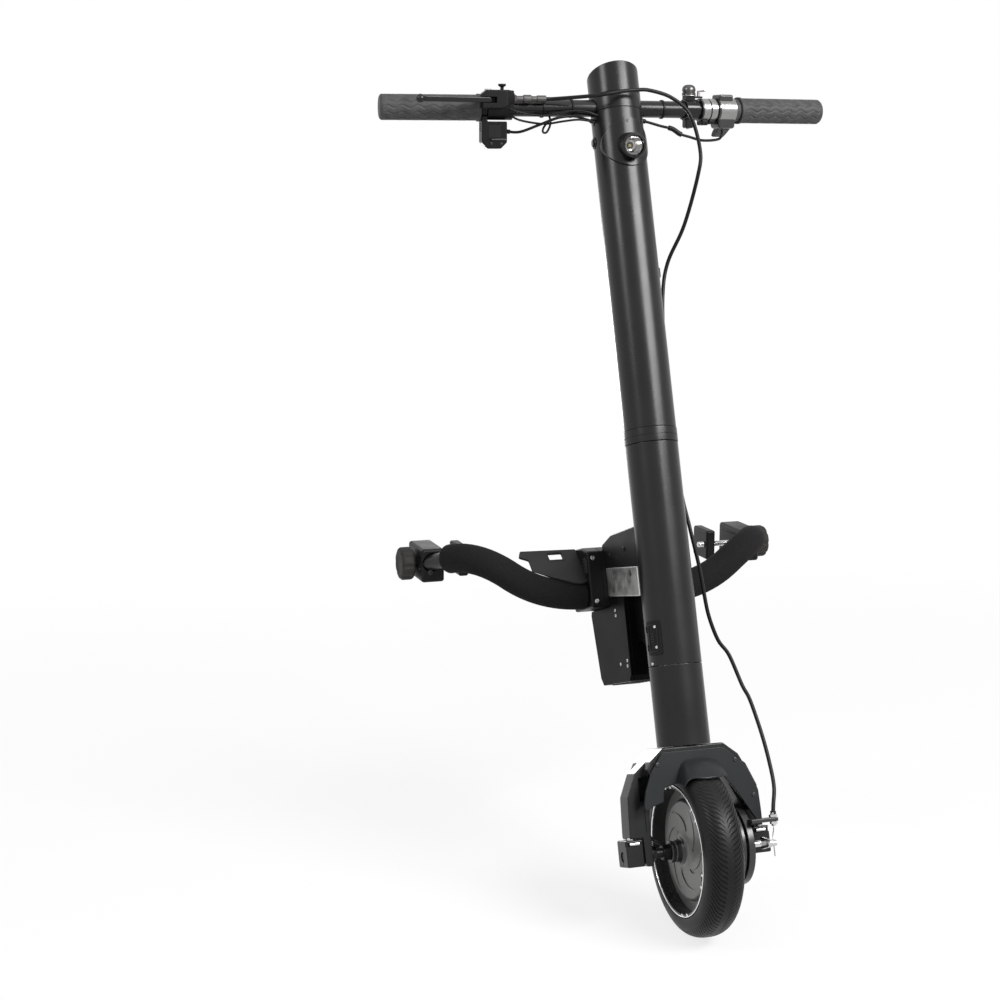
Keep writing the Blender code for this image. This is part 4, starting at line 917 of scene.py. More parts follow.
def control_pod():
    face = [
        (-0.1812, -0.010), (-0.1812, -0.0440), (-0.1740, -0.0520), (-0.1560, -0.0520),
        (-0.1480, -0.0440), (-0.1480, -0.0175), (-0.1738, -0.0175), (-0.1738, -0.010),
    ]
    seam = [(-0.1745, -0.0400), (-0.1545, -0.0400), (-0.1545, -0.0415), (-0.1745, -0.0415)]
    ribs = (-0.0210, -0.0240, -0.0270, -0.0300)
    pod = joined(
        rod_x(0.0145, -0.1812, -0.1740, 72, 0.0006),
        slab(rounded_outline(face, 0.0018), -0.0120, 0.0100, "xz", 0.0020),
    )
    pod = cut(
        pod, bar_hole(-0.19, -0.12), box((-0.1700, 0.0070, -0.0440), (-0.1560, 0.02, -0.0260)),
        slab(seam, -0.013, -0.0112, "xz"),
        *(box((-0.1820, -0.008, z), (-0.1800, 0.006, z + 0.0012)) for z in ribs),
    )
    piece("control_pod_case", pod, LEFT_BAR, MOULDED_BLACK, "column",
          ["control_pod"])
    ledge = box((-0.1690, -0.0140, -0.0415), (-0.1492, -0.0114, -0.0392), 0.0006)
    piece("control_pod_ledge", ledge, LEFT_BAR, SATIN_ALLOY, "column")
    plate = box((-0.1728, -0.0127, -0.0385), (-0.1560, -0.0117, -0.0215), 0.0005)
    piece("control_pod_plate", plate, LEFT_BAR, GLOSS_BLACK, "column")
    screws = together(
        screw(0.0019, 0.0010, (-0.1690, POD_FRONT, -0.0460), FORWARD),
        screw(0.0019, 0.0010, (-0.1560, POD_FRONT, -0.0460), FORWARD),
        screw(0.0026, 0.0018, (-0.1776, 0.0105, -0.0100), (0, 0.7, -0.7)),
    )
    piece("control_pod_screws", screws, LEFT_BAR, DARK_STEEL, "column")
    rocker = cut(
        box((-0.1695, 0.0085, -0.0435), (-0.1565, 0.0122, -0.0265), 0.0010),
        rod_x(0.0200, -0.172, -0.154, 72, y=0.0310, z=-0.0350),
    )
    piece("pod_rocker", rocker, LEFT_BAR, GRIP_RUBBER, "pod_button",
          ["pod_button"])


def hoop(outer, inner, start, end, sides, over, round_off=0.0):
    """A band round the bar; its bore is cut a little longer than the band at both ends."""
    bore = rod_x(inner, start - over, end + over, sides)
    return cut(rod_x(outer, start, end, sides, round_off), bore)


def throttle():
    housing = joined(
        rod_x(0.0165, 0.1465, 0.1742, 80, 0.0010),
        box((0.1490, -0.0120, 0.0), (0.1700, 0.0100, 0.0205), 0.0026, 4),
        box((0.1480, -0.0120, -0.0240), (0.1740, 0.0120, 0.0), 0.0040, 5),
        rod_x(0.0148, 0.1225, 0.1470, 80, 0.0008),
    )
    housing = cut(
        housing, bar_hole(0.10, 0.19),
        *(hoop(0.0170, 0.0141, x, x + 0.0010, 80, 0.001) for x in (0.1349, 0.1462)),
    )
    piece("throttle_case", housing, RIGHT_BAR, GLOSS_CASE, "column",
          ["throttle_housing"])
    # Thin metal bands round the throttle case; their pale tone is a painted highlight of the key
    # light's reflection on the gloss-black case.
    bands = together(*(
        hoop(radius, radius - 0.0009, low, high, 96, 0.01, 0.0003)
        for radius, low, high in (
            (0.01685, 0.1495, 0.1738), (0.01515, 0.1245, 0.1345), (0.01515, 0.1363, 0.1450),
        )
    ))
    piece("throttle_highlight_bands", bands, RIGHT_BAR, HIGHLIGHT_BAND_METAL, "column")
    screws = together(
        screw(0.0024, 0.0016, (0.1540, 0.0, -0.0238), DOWN),
        screw(0.0024, 0.0016, (0.1680, 0.0, -0.0238), DOWN),
        screw(0.0028, 0.0020, (0.1290, 0.0085, -0.0118), (0, 0.6, -0.8)),
        moved(rod(0.0030, (0, 0, 0), (0, 0, 0.0070), 24, 0.0005),
              facing((0.1595, 0.0100, -0.0180), (0, 1, -0.3))),
    )
    piece("throttle_screws", screws, RIGHT_BAR, DARK_STEEL, "column")
    lumps = together(
        box((0.1240, -0.0090, -0.0200), (0.1340, 0.0070, -0.0125), 0.0022, 4),
        box((0.1352, -0.0080, -0.0185), (0.1450, 0.0080, -0.0125), 0.0020, 4),
    )
    piece("strap_lumps", lumps, RIGHT_BAR, MOULDED_BLACK, "column")

    blade = [
        (0.000, -0.0145), (0.0070, -0.0139), (0.0140, -0.0130), (0.0225, -0.0195),
        (0.0300, -0.0270), (0.0322, -0.0305), (0.0330, -0.0335), (0.0290, -0.0345),
        (0.0210, -0.0298), (0.0120, -0.0240), (0.0050, -0.0190),
    ]
    paddle = joined(
        rod_x(0.0150, 0.1745, 0.1812, 80, 0.0006),
        slab(blade, 0.1630, 0.1812, "yz", 0.0014, 3, 50),
    )
    paddle = cut(
        paddle, bar_hole(0.1400, 0.1744, 0.0275), bar_hole(0.15, 0.19),
        *(rod_x(0.0007, 0.150, 0.190, 12, y=0.0145 + 0.0038 * step, z=-0.0125 - 0.0036 * step)
          for step in range(4)),
    )
    piece("throttle_thumb", paddle, RIGHT_BAR, GRIP_RUBBER, "throttle_paddle",
          ["throttle_paddle"])


def bell():
    base = joined(
        rod_x(0.0138, 0.0990, 0.1180, 72, 0.0007),
        box((0.1020, -0.0050, 0.0), (0.1150, 0.0080, 0.0190), 0.0012),
        box((0.1090, -0.0040, 0.0153), (0.1268, 0.0060, 0.0178), 0.0006),
        box((0.1010, -0.0060, -0.0240), (0.1130, 0.0060, 0.0), 0.0026, 4),
    )
    dome = lathe([
        (0, 0.0330), (0.0030, 0.0328), (0.0055, 0.0320), (0.0075, 0.0305), (0.0086, 0.0285),
        (0.0090, 0.0262), (0.0090, 0.0246), (0.0084, 0.0242), (0.0084, 0.0222), (0.0090, 0.0218),
        (0.0092, 0.0192), (0.0088, 0.0185), (0, 0.0185),
    ], 72)
    piece("bell_dome", shifted(dome, *BELL_SPOT), RIGHT_BAR, SATIN_ALLOY, "column")
    piece("bell_body", cut(base, bar_hole(0.08, 0.13)), RIGHT_BAR, GLOSS_BLACK, "column",
          ["bell"])
    trim = together(
        shifted(ring(0.0098, 0.0080, 0.0183, 0.0190, 72, 0.0002), *BELL_SPOT),
        screw(0.0024, 0.0014, (0.1070, 0, -0.0239), DOWN),
    )
    piece("bell_trim", trim, RIGHT_BAR, BRIGHT_STEEL, "column")
    striker = joined(
        rod(0.0022, (0.1235, 0.0015, 0.0181), (0.1235, 0.0015, 0.0250), 32, 0.0003),
        box((0.1223, -0.0160, 0.0235), (0.1247, 0.0025, 0.0255), 0.0005),
    )
    piece("bell_hammer", striker, RIGHT_BAR, BRIGHT_STEEL, "bell_striker",
          ["bell_striker"])


# Cables

BRAKE_ROUTE = [
    (-0.0998, -0.0127, 0.9650), (-0.0860, -0.0160, 0.9645), (-0.0400, -0.0395, 0.9610),
    (-0.0100, -0.0450, 0.9645), (0.0140, -0.0450, 0.9670), (0.0320, -0.0450, 0.9665),
    (0.0610, -0.0450, 0.9570), (0.0840, -0.0450, 0.9340), (0.0950, -0.0400, 0.8890),
    (0.0905, -0.0350, 0.8570), (0.0790, 0.0000, 0.8000), (0.0590, 0.0200, 0.7560),
    (0.0480, 0.0220, 0.7150), (0.0390, 0.0150, 0.6500), (0.0366, 0.0120, 0.5600),
    (0.0372, 0.0100, 0.4600), (0.0410, 0.0020, 0.4020), (0.0468, 0.0000, 0.3545),
    (0.0495, 0.0000, 0.3215), (0.0530, 0.0000, 0.2876), (0.0621, 0.0000, 0.2559),
    (0.0741, -0.0020, 0.2357), (0.0847, -0.0080, 0.1964), (0.0915, -0.0120, 0.1766),
    (0.0979, -0.0220, 0.1316), (0.0995, -0.0320, 0.0938), (0.0978, -0.0400, 0.0666),
    (0.0915, -0.0455, 0.0449), (0.0885, -0.0475, 0.0315),
]
THROTTLE_ROUTE = [
    (0.1595, 0.0220, 0.9380), (0.1575, 0.0245, 0.9280), (0.1430, 0.0160, 0.9215),
    (0.1190, 0.0040, 0.9170), (0.1010, 0.0000, 0.9200), (0.0876, 0.0000, 0.9240),
    (0.0770, 0.0000, 0.9310), (0.0620, 0.0000, 0.9345), (0.0480, 0.0000, 0.9385),
    (0.0345, 0.0000, 0.9420),
]
POD_ROUTE = [
    (-0.1467, 0.0210, 0.9330), (-0.1300, 0.0150, 0.9305), (-0.1080, -0.0020, 0.9345),
    (-0.0850, -0.0100, 0.9410), (-0.0620, -0.0080, 0.9440), (-0.0450, -0.0030, 0.9420),
    (-0.0345, 0.0000, 0.9400),
]
SWITCH_LEAD = [
    (-0.1480, -0.0060, 0.9540), (-0.1380, -0.0060, 0.9500), (-0.1200, -0.0055, 0.9465),
    (-0.1000, -0.0070, 0.9450), (-0.0800, -0.0100, 0.9480), (-0.0600, -0.0125, 0.9500),
    (-0.0450, -0.0135, 0.9480), (-0.0312, -0.0120, 0.9440),
]
LOCK_LEAD = [
    (-0.1480, 0.0040, 0.9530), (-0.1370, 0.0040, 0.9440), (-0.1180, 0.0030, 0.9390),
    (-0.0980, 0.0005, 0.9365), (-0.0760, -0.0040, 0.9385), (-0.0550, -0.0065, 0.9400),
    (-0.0330, -0.0055, 0.9375),
]
TIE_LOOP = [
    (0, -0.0120, -0.0100), (0.0015, -0.0130, -0.0170), (0.0005, -0.0125, -0.0240),
    (-0.0035, -0.0120, -0.0310), (-0.0080, -0.0115, -0.0310), (-0.0080, -0.0115, -0.0265),
    (-0.0050, -0.0120, -0.0215), (-0.0015, -0.0125, -0.0180),
]


def cable_ring(route, share, half, radius):
    """A sleeve round a cable, centred at a share of its length."""
    spacing = 0.001
    points = smooth_route(route, spacing)
    middle = int(share * (len(points) - 1))
    steps = max(2, round(half / spacing))
    return tube(points[max(0, middle - steps):middle + steps + 1], radius, 28)


def cables():
    for name, route, radius in (
        ("brake_cable", BRAKE_ROUTE, 0.0025), ("throttle_cable", THROTTLE_ROUTE, 0.0018),
        ("pod_cable", POD_ROUTE, 0.0018),
    ):
        jacket = tube(smooth_route(route, 0.0045), radius, 20)
        piece(name + "_jacket", jacket, STEER, CABLE_JACKET, "column", [name], 60)
    leads = [tube(smooth_route(route, 0.003), 0.0014, 16) for route in (SWITCH_LEAD, LOCK_LEAD)]
    piece("bar_leads", together(*leads), STEER, CABLE_JACKET, "column")
    sleeves = [
        cable_ring(*row) for row in (
            (THROTTLE_ROUTE, 0.66, 0.011, 0.0033), (THROTTLE_ROUTE, 0.985, 0.003, 0.0030),
            (POD_ROUTE, 0.980, 0.003, 0.0030), (POD_ROUTE, 0.020, 0.003, 0.0028),
            (BRAKE_ROUTE, 0.992, 0.006, 0.0036),
        )
    ]
    piece("cable_sleeves", together(*sleeves), STEER, MOULDED_BLACK, "column")
    ties = [
        moved(ring(0.0124, 0.0112, -0.0013, 0.0013, 64, 0.0003), placed(*bar_point(x)), ALONG_X)
        for x in (-0.100, -0.062, 0.066)
    ]
    loop = [bar_point(-0.094) + Vector(step) for step in TIE_LOOP]
    ties.append(tube(smooth_route(loop, 0.0012), 0.0014, 16))
    piece("bar_ties", together(*ties), LEVEL, MOULDED_BLACK, "column")
    clip = shared(
        ring(0.0350, COLUMN_RADIUS, 0.728, 0.740, 144, 0.0005),
        box((0.0, -0.012, 0.72), (0.04, 0.030, 0.75)),
    )
    clip = together(clip, cable_ring(BRAKE_ROUTE, 0.475, 0.006, 0.0036))
    piece("cable_clip", clip, STEER, MOULDED_BLACK, "column")


# Dock: sleeve, block, latch, controller, crossbar and clamps

PORT_HALF = (0.00975, 0.020)
FLAP_HALF = (0.01125, 0.0215)
FLAP_FACE = 0.0351
BLOCK_HALF = 0.030
BLOCK_FRONT = 0.020
BLOCK_BACK = 0.1297
BLOCK_BOTTOM = 0.3205
BLOCK_TOP = 0.3585
BAR_BACK = 0.1538
BAR_LEVEL = 0.3379
LATCH_HALF = 0.0545
LATCH_BOTTOM = 0.3180
LATCH_FRONT = BLOCK_BACK + GAP
CROSSBAR_CORNERS = [
    (0.0, 0.2522, 0.3805), (0.1141, 0.2522, 0.3805), (0.1995, 0.2716, 0.4410),
    (0.2434, 0.3745, 0.4097),
]


def sleeve_clearance():
    return rod(COLUMN_RADIUS + GAP, (0, 0, 0.20), (0, 0, 0.45), 144)


def bearing(name, place, body, low, high, races, balls, inset, steps, edges):
    """Two races and the ball track between them, each as (outer, inner) radius."""
    rings = [ring(*race, low, high, steps, edges[0]) for race in races]
    rings.append(ring(*balls, low + inset, high - inset, steps, edges[1]))
    piece(name + "_races", together(*rings), place, BRIGHT_STEEL, body, [name])


def sleeve_pieces():
    across, up = PORT_HALF
    sleeve = cut(
        ring(COLUMN_RADIUS, 0.0300, SLEEVE_BOTTOM, SLEEVE_TOP, 144),
        in_steer(box((0.022, -across, -up), (0.045, across, up), 0.0015), PORT),
    )
    piece("fixed_sleeve", sleeve, STEER, COLUMN_PAINT, "dock", ["steering_sleeve"])
    screws = []
    for degrees in (-78, 102):
        a = math.radians(degrees)
        outward = Vector((math.sin(a), -math.cos(a), 0))
        spot = outward * (COLUMN_RADIUS - 0.0002) + Vector((0, 0, SLEEVE_BOTTOM + 0.0030))
        screws.append(screw(0.0020, 0.0010, spot, outward))
    piece("sleeve_screws", together(*screws), STEER, BRIGHT_STEEL, "dock")
    height = 0.012
    for name, low in (
        ("lower_bearing", SLEEVE_BOTTOM + 0.0007), ("upper_bearing", SLEEVE_TOP - 0.0015 - height),
    ):
        bearing(name, STEER, "dock", low, low + height, ((0.0297, 0.0268), (0.0242, COLUMN_BORE)),
                (0.0269, 0.0241), 0.0012, 96, (0.0004, 0.0003))
    steerer = ring(0.0213, 0.0180, CROWN_TOP + GAP, 0.549, 96, 0.001)
    piece("steerer", steerer, STEER, BRIGHT_STEEL, "column", ["steerer_tube"])


def charging_port():
    across, up = (half - GAP for half in PORT_HALF)
    plate = joined(
        box((0.0235, -across, -up), (0.0300, across, up), 0.0012),
        rod_x(0.0072, 0.028, 0.0325, 64, 0.0004),
    )
    plate = cut(plate, rod_x(0.0052, 0.0262, 0.040, 48))
    piece("charge_port", plate, PORT, MOULDED_BLACK, "dock", ["charge_socket"])
    pin = rod_x(0.0010, 0.0255, 0.0312, 24, 0.0004)
    piece("charge_pin", pin, PORT, BRIGHT_STEEL, "dock")

    wide, tall = FLAP_HALF
    outline = rounded_outline(rectangle(-wide, -tall, 2 * wide, 2 * tall), 0.0035, 6)
    cover = shared(
        ring(0.0355, COLUMN_RADIUS + GAP, -0.0235, 0.0235, 240, 0.0003),
        slab(outline, 0.020, 0.045, "yz"),
    )
    cover = cut(cover, rod_x(0.0042, 0.034, 0.040, y=wide + 0.0022))
    soften(cover, 0.0003, 2, 50)
    hinge = [
        rod(0.0009, (0.0339, -wide, z), (0.0339, -wide, z + 0.0080), 20, 0.0002)
        for z in (-0.0155, 0.0075)
    ]

    pad = rectangle(-0.0076, -0.0172, 0.0152, 0.0344)
    hole = [(y * 0.84, z * 0.93) for y, z in pad]
    rim = cut(
        slab(rounded_outline(pad, 0.0040, 6), 0.020, 0.045, "yz"),
        slab(rounded_outline(hole, 0.0034, 6), 0.01, 0.05, "yz"),
    )
    frame_ring = shared(ring(0.0362, 0.0353, -0.0235, 0.0235, 240, 0.0002), rim)
    ribs = [
        box((FLAP_FACE, -0.0042, z), (0.0361, 0.0020, z + 0.0013), 0.0003)
        for z in (-0.0050 + 0.0032 * step for step in range(4))
    ]
    screws = [
        screw(0.0018, 0.0010, (FLAP_FACE, 0.0042, z), (1, 0.12, 0)) for z in (0.0138, -0.0118)
    ]
    piece("port_cover_screws", together(*screws), PORT, BRIGHT_STEEL, "charge_flap")
    piece("port_cover_frame", together(frame_ring, *ribs), PORT, GLOSS_BLACK, "charge_flap")
    piece("port_cover", together(cover, *hinge), PORT, MOULDED_BLACK, "charge_flap",
          ["charge_flap"])


def block_level(level, back):
    """Height of the sloping block's top or bottom at a distance behind the steering axis."""
    return level + 0.096 * (back - BLOCK_FRONT)


def side_screws(name, spots, x, radius, height, finish):
    """Socket screws on both sides of the dock, heads outwards."""
    heads = [
        screw(radius, height, (side * x, y, s), (side, 0, 0)) for y, s in spots for _, side in SIDES
    ]
    piece(name, together(*heads), STEER, finish, "dock")


def dock_block():
    outline = [
        (BLOCK_FRONT, BLOCK_BOTTOM), (BLOCK_FRONT, BLOCK_TOP),
        (BLOCK_BACK, block_level(BLOCK_TOP, BLOCK_BACK)),
        (BLOCK_BACK, block_level(BLOCK_BOTTOM, BLOCK_BACK)),
    ]
    spots = [(0.1057, 0.3585), (0.0451, 0.3520)]
    holes = [
        rod_x(0.0046, x - math.copysign(0.0050, x), x * 1.1, 40, y=y, z=s)
        for y, s in spots for x in (-BLOCK_HALF, BLOCK_HALF)
    ]
    stock = cut(
        slab(outline, -BLOCK_HALF, BLOCK_HALF, "yz", 0.0012), sleeve_clearance(), *holes
    )
    piece("dock_block_alloy", stock, STEER, ALLOY_GREY, "dock", ["dock_block"])
    side_screws("dock_block_screws", spots, BLOCK_HALF - 0.0049, 0.0043, 0.0014, CASE_BLACK)


def spread_out(outline, by):
    """An outline of the latch with its corners moved away from its middle."""
    return [
        (y + by * math.copysign(1, y - 0.16), s + by * math.copysign(1, s - 0.36))
        for y, s in outline
    ]


def latch_housing():
    """Cover over the block, the wide latch that grips the crossbar, and its release."""
    front = 0.015
    back = 0.140
    cover = slab([
        (front, block_level(BLOCK_TOP, front) + GAP), (front, 0.410), (0.105, 0.410),
        (back, 0.4015), (back, block_level(BLOCK_TOP, back) + GAP),
    ], -0.029, 0.029, "yz", 0.0022)
    outline = [
        (LATCH_FRONT, LATCH_BOTTOM), (LATCH_FRONT, 0.3925), (0.1520, 0.4000), (0.1980, 0.4020),
        (0.1980, LATCH_BOTTOM),
    ]
    seams = [
        cut(slab(spread_out(outline, 0.004), x - 0.0004, x + 0.0004, "yz"),
            slab(spread_out(outline, -0.0007), x - 0.001, x + 0.001, "yz"))
        for x in (-0.036, 0.036)
    ]
    latch = cut(slab(outline, -LATCH_HALF, LATCH_HALF, "yz", 0.0026), *seams)
    shell = cut(
        joined(cover, latch), sleeve_clearance(),
        rod_x(SOCKET_RADIUS, -0.07, 0.07, 64, y=BAR_BACK, z=BAR_LEVEL),
    )
    piece("latch_shell", shell, STEER, MOULDED_BLACK, "dock", ["latch_housing"])

    ribs = [
        box((-0.0578, 0.1332, s), (-0.0560, 0.1408, s + 0.0016), 0.0005)
        for s in (0.3660 + 0.0040 * step for step in range(5))
    ]
    button = box((-0.0566, 0.1325, 0.3640), (-0.0543, 0.1415, 0.3850), 0.0006)
    piece("latch_release", together(button, *ribs), STEER, KNOB_PLASTIC, "dock")
    side_screws("housing_screws", [(0.060, 0.3860), (0.112, 0.3840)], 0.0288, 0.0030, 0.0016,
                DARK_STEEL)
    faces = [
        screw(0.0032, 0.0016, (x, LATCH_FRONT + 0.0002, s), FORWARD)
        for x in (-0.0470, 0.0470) for s in (0.3260, 0.3840)
    ]
    piece("latch_screws", together(*faces), STEER, BRIGHT_STEEL, "dock")


def crossbar_half(side=1):
    return [Vector((side * p.x, p.y, p.z)) for p in bent_route(CROSSBAR_CORNERS, 14)]


def crossbar_route():
    return list(reversed(crossbar_half(-1)[1:])) + crossbar_half()


def docking_plate():
    """Slotted wing on the left foam, with a raised rim around its slot."""
    wing = DOCK @ placed(0, 0.2414, 0.3988) @ turned(math.radians(33.5), "X")
    inner = -LATCH_HALF - GAP
    plan = [
        (inner, 0.0), (inner, 0.0605), (-0.1330, 0.0625), (-0.1370, 0.0520), (-0.1250, 0.0455),
        (-0.1250, 0.0240), (-0.1000, 0.0110), (-0.0760, 0.0), (-0.0650, -0.0025),
    ]
    slot = rounded_outline(rectangle(-0.0965, 0.0425, 0.0200, 0.0130), 0.0015)
    stock = cut(
        slab(rounded_outline(plan, 0.0022), 0.0, 0.0038, "xy", 0.0007),
        slab(slot, -0.01, 0.01),
        moved(tube(crossbar_route(), FOAM_RADIUS + 0.0006, 72), wing.inverted(), DOCK),
    )
    piece("docking_wing", stock, wing, WING_BLACK, "dock", ["docking_plate"])
    outer = rounded_outline(rectangle(-0.0982, 0.0408, 0.0234, 0.0164), 0.0025)
    rim = cut(slab(outer, 0.0036, 0.0044, "xy", 0.0003), slab(slot, -0.01, 0.01))
    piece("wing_slot_rim", rim, wing, WING_BLACK, "dock")


def controller_box():
    front = 0.077
    under_latch = LATCH_BOTTOM - GAP
    outline = [
        (front, block_level(BLOCK_BOTTOM, front) - GAP), (front, 0.224), (0.085, 0.216),
        (0.182, 0.216), (0.190, 0.226), (0.2035, 0.312), (0.2010, under_latch),
        (BLOCK_BACK, under_latch), (BLOCK_BACK, block_level(BLOCK_BOTTOM, BLOCK_BACK) - GAP),
    ]
    lid = 0.0258
    layers = [
        slab(outline, low, high, "yz", 0.0010)
        for low, high in ((-lid, lid), (-BLOCK_HALF, -lid), (lid, BLOCK_HALF))
    ]
    ribs = [
        box((-0.020, y, 0.2150), (0.020, y + 0.0040, 0.2172), 0.0008)
        for y in (0.0950 + 0.0130 * step for step in range(7))
    ]
    piece("controller_case", together(*layers, *ribs), STEER, CASE_BLACK, "dock",
          ["controller_box"])
    spots = [(0.110, 0.311), (0.109, 0.304), (0.109, 0.240), (0.0840, 0.243), (0.0850, 0.236)]
    side_screws("controller_screws", spots, BLOCK_HALF - 0.0002, 0.0023, 0.0014, BRIGHT_STEEL)

    front = 0.026
    back = 0.090
    outline = [(front, block_level(BLOCK_BOTTOM, front) - GAP), (front, 0.233), (0.038, 0.233)]
    outline += arc((0.0767, 0.233), 0.034, 170, 100, 14)
    outline += [(back, 0.268), (back, block_level(BLOCK_BOTTOM, back) - GAP)]
    web = cut(slab(outline, -0.016, 0.016, "yz", 0.0012), sleeve_clearance())
    piece("support_web", web, STEER, CASE_BLACK, "dock")


def along_route(route, length):
    """The point at a length along a route."""
    for p, q in zip(route, route[1:]):
        step = (q - p).length
        if length <= step:
            return p.lerp(q, length / step)
        length -= step
    return route[-1]


def foam_sleeve(side):
    """Foam round one half of the crossbar, with rounded ends."""
    start = 0.0550
    end = 0.2320
    edge = 0.0022
    half = crossbar_half(side)
    route = [Vector((side * start, half[0].y, half[0].z))]
    route += [p for p in half if start < abs(p.x) < end]
    back = list(reversed(route))
    inner = [p for p in route if abs(p.x) > start + edge * 1.5
             and (p - route[-1]).length > edge * 1.5]
    points = [along_route(route, length) for length in (0.0, edge * 0.3, edge)] + inner
    points += [along_route(back, length) for length in (edge, edge * 0.3, 0.0)]
    tip = [FOAM_RADIUS - edge, FOAM_RADIUS - edge * 0.3]
    radii = tip + [FOAM_RADIUS] * (len(inner) + 2) + tip[::-1]
    return cut(tube(points, FOAM_RADIUS, 64, radii), tube(half, SOCKET_RADIUS, 40))


def crossbar_and_foam():
    piece("crossbar_tube", tube(crossbar_route(), CROSSBAR_RADIUS, 48), DOCK, COLUMN_PAINT, "dock",
          ["crossbar"])
    for name, side in SIDES:
        piece("foam_" + name + "_sleeve", foam_sleeve(side), DOCK, FOAM_BLACK, "dock",
              ["foam_" + name], 60)


CLAMP_BACK = 0.390
CLAMP_LEVEL = 0.4085


def knob_shape():
    """Round hand knob with eight soft lobes and a dished end."""
    flat = 0.0140

    def lobed(r, angle, _):
        if r > flat:
            dip = max(0.0, math.cos(8 * angle)) ** 2
            return r - 0.0016 * dip * min(1.0, (r - flat) / 0.006), angle

    return reshaped(lathe([
        (0, 0.2722), (0.0100, 0.2722), (0.0125, 0.2728), (0.0150, 0.2735), (0.0190, 0.2733),
        (0.0212, 0.2722), (0.0223, 0.2705), (0.0225, 0.2690), (0.0225, 0.2600), (0.0222, 0.2580),
        (0.0212, 0.2562), (0.0190, 0.2545), (0.0150, 0.2532), (0.0110, 0.2520), (0.0041, 0.2520),
        (0.0041, 0.2560), (0, 0.2560),
    ], 128), lobed)


def spindle_shape():
    """Threaded spindle of a hand screw."""
    radius = 0.0040
    pitch = 0.0015
    top = 0.2500
    thread = [(0, 0.2540), (radius, 0.2540), (radius, top)]
    while top > 0.1745:
        thread += [(0.0034, top - pitch / 2), (radius, top - pitch)]
        top -= pitch
    return lathe(thread + [(radius, 0.1712), (0.0032, 0.1700), (0, 0.1700)], 32)


def clamp_bore(side):
    return rod_x(0.0043, side * 0.16, side * 0.30, 40, y=CLAMP_BACK, z=CLAMP_LEVEL)


def clamp_pieces(name, side):
    """Screw clamp at an end of the crossbar: body, sliding jaw, hand screw."""
    face = 0.2185
    pad = 0.1915
    socket = [p for p in crossbar_half(side) if abs(p.x) > 0.205]
    socket[-1] = socket[-1] + (socket[-1] - socket[-2]).normalized() * GAP
    body = cut(
        side_box(side, 0.2505, face, (0.3560, 0.3870), (0.4250, 0.4330), 0.0040, 4),
        tube(socket, SOCKET_RADIUS, 40), clamp_bore(side),
        *(box((side * face - 0.0006, 0.350, z), (side * face + 0.0006, 0.43, z + 0.0012))
          for z in (0.3930, 0.4240)),
    )
    piece("clamp_case_" + name, body, DOCK, MOULDED_BLACK, "dock",
          ["clamp_body_" + name])
    screws = [
        screw(0.0038, 0.0022, (side * 0.2390, 0.3562, z), FORWARD) for z in (0.4015, 0.4175)
    ]
    piece("clamp_screws_" + name, together(*screws), DOCK, DARK_STEEL, "dock")

    jaw = cut(
        side_box(side, pad, 0.1780, (0.3770, 0.3880), (0.4250, 0.4300), 0.0030, 4),
        clamp_bore(side),
        *(box((side * pad - 0.0007, y, 0.380), (side * pad + 0.0007, y + 0.0012, 0.44))
          for y in (0.3850 + 0.0100 * step for step in range(4))),
    )
    piece("clamp_pad_" + name, jaw, DOCK, MOULDED_BLACK, "jaw_" + name,
          ["clamp_jaw_" + name])

    place = DOCK @ placed(0, CLAMP_BACK, CLAMP_LEVEL) @ (ALONG_X if side > 0 else ALONG_MINUS_X)
    piece("hand_knob_" + name, knob_shape(), place, KNOB_PLASTIC, "knob_" + name,
          ["clamp_knob_" + name])
    piece("spindle_" + name, spindle_shape(), place, BRIGHT_STEEL, "knob_" + name)


# Fork, fairing, dropouts and axle

CROWN_DEPTH = 0.060
LEG_DEPTH = 0.028
FAIRING_FRONT = -0.0345
AXLE_HOLE = 0.0063
AXLE_FIT = 0.0062
HOOD_HALF = 0.0286
HOOD_WALL = 0.0018
COIL_COUNT = 18


def fork_shape():
    shoulder = [(0.0400, CROWN_TOP - 0.0002), (0.0590, 0.1125)]
    leg = shoulder + [
        (0.0750, 0.0995), (0.0872, 0.0715), (0.0882, 0.0516), (0.0893, 0.0271), (0.0893, 0.0210),
        (0.0722, 0.0210), (0.0722, -0.0100), (0.0692, -0.0140), (0.0610, -0.0140),
        (0.0610, 0.0450), (0.0590, 0.0560), (0.0450, 0.0850), (0.0330, 0.1040), (0.0260, 0.1120),
    ]
    crown = shoulder + [
        (0.0640, 0.1030), (0.0600, 0.0950), (0.0400, 0.0950), (0.0300, 0.1100), (0.0260, 0.1120),
    ]
    pocket = [
        (0.0600, 0.0665), (0.0716, 0.0645), (0.0716, 0.0945), (0.0560, 0.0945), (0.0560, 0.0760),
    ]
    channel = [(0.0665, 0.0560), (0.0800, 0.0560), (0.0810, 0.0270), (0.0665, 0.0270)]
    recesses = [
        slab(rounded_outline([(side * x, s) for x, s in outline], radius), -0.02, floor, "xz")
        for _, side in SIDES
        for outline, radius, floor in ((pocket, 0.0022, -0.0060), (channel, 0.0030, -0.0128))
    ]
    whole = joined(
        slab(mirrored(leg), -LEG_DEPTH / 2, LEG_DEPTH / 2, "xz", 0.0017, 3, 20),
        slab(mirrored(crown), -CROWN_DEPTH / 2, CROWN_DEPTH / 2, "xz", 0.0020, 3, 20),
    )
    return cut(whole, rod_x(AXLE_HOLE, -0.12, 0.12, 48), *recesses)


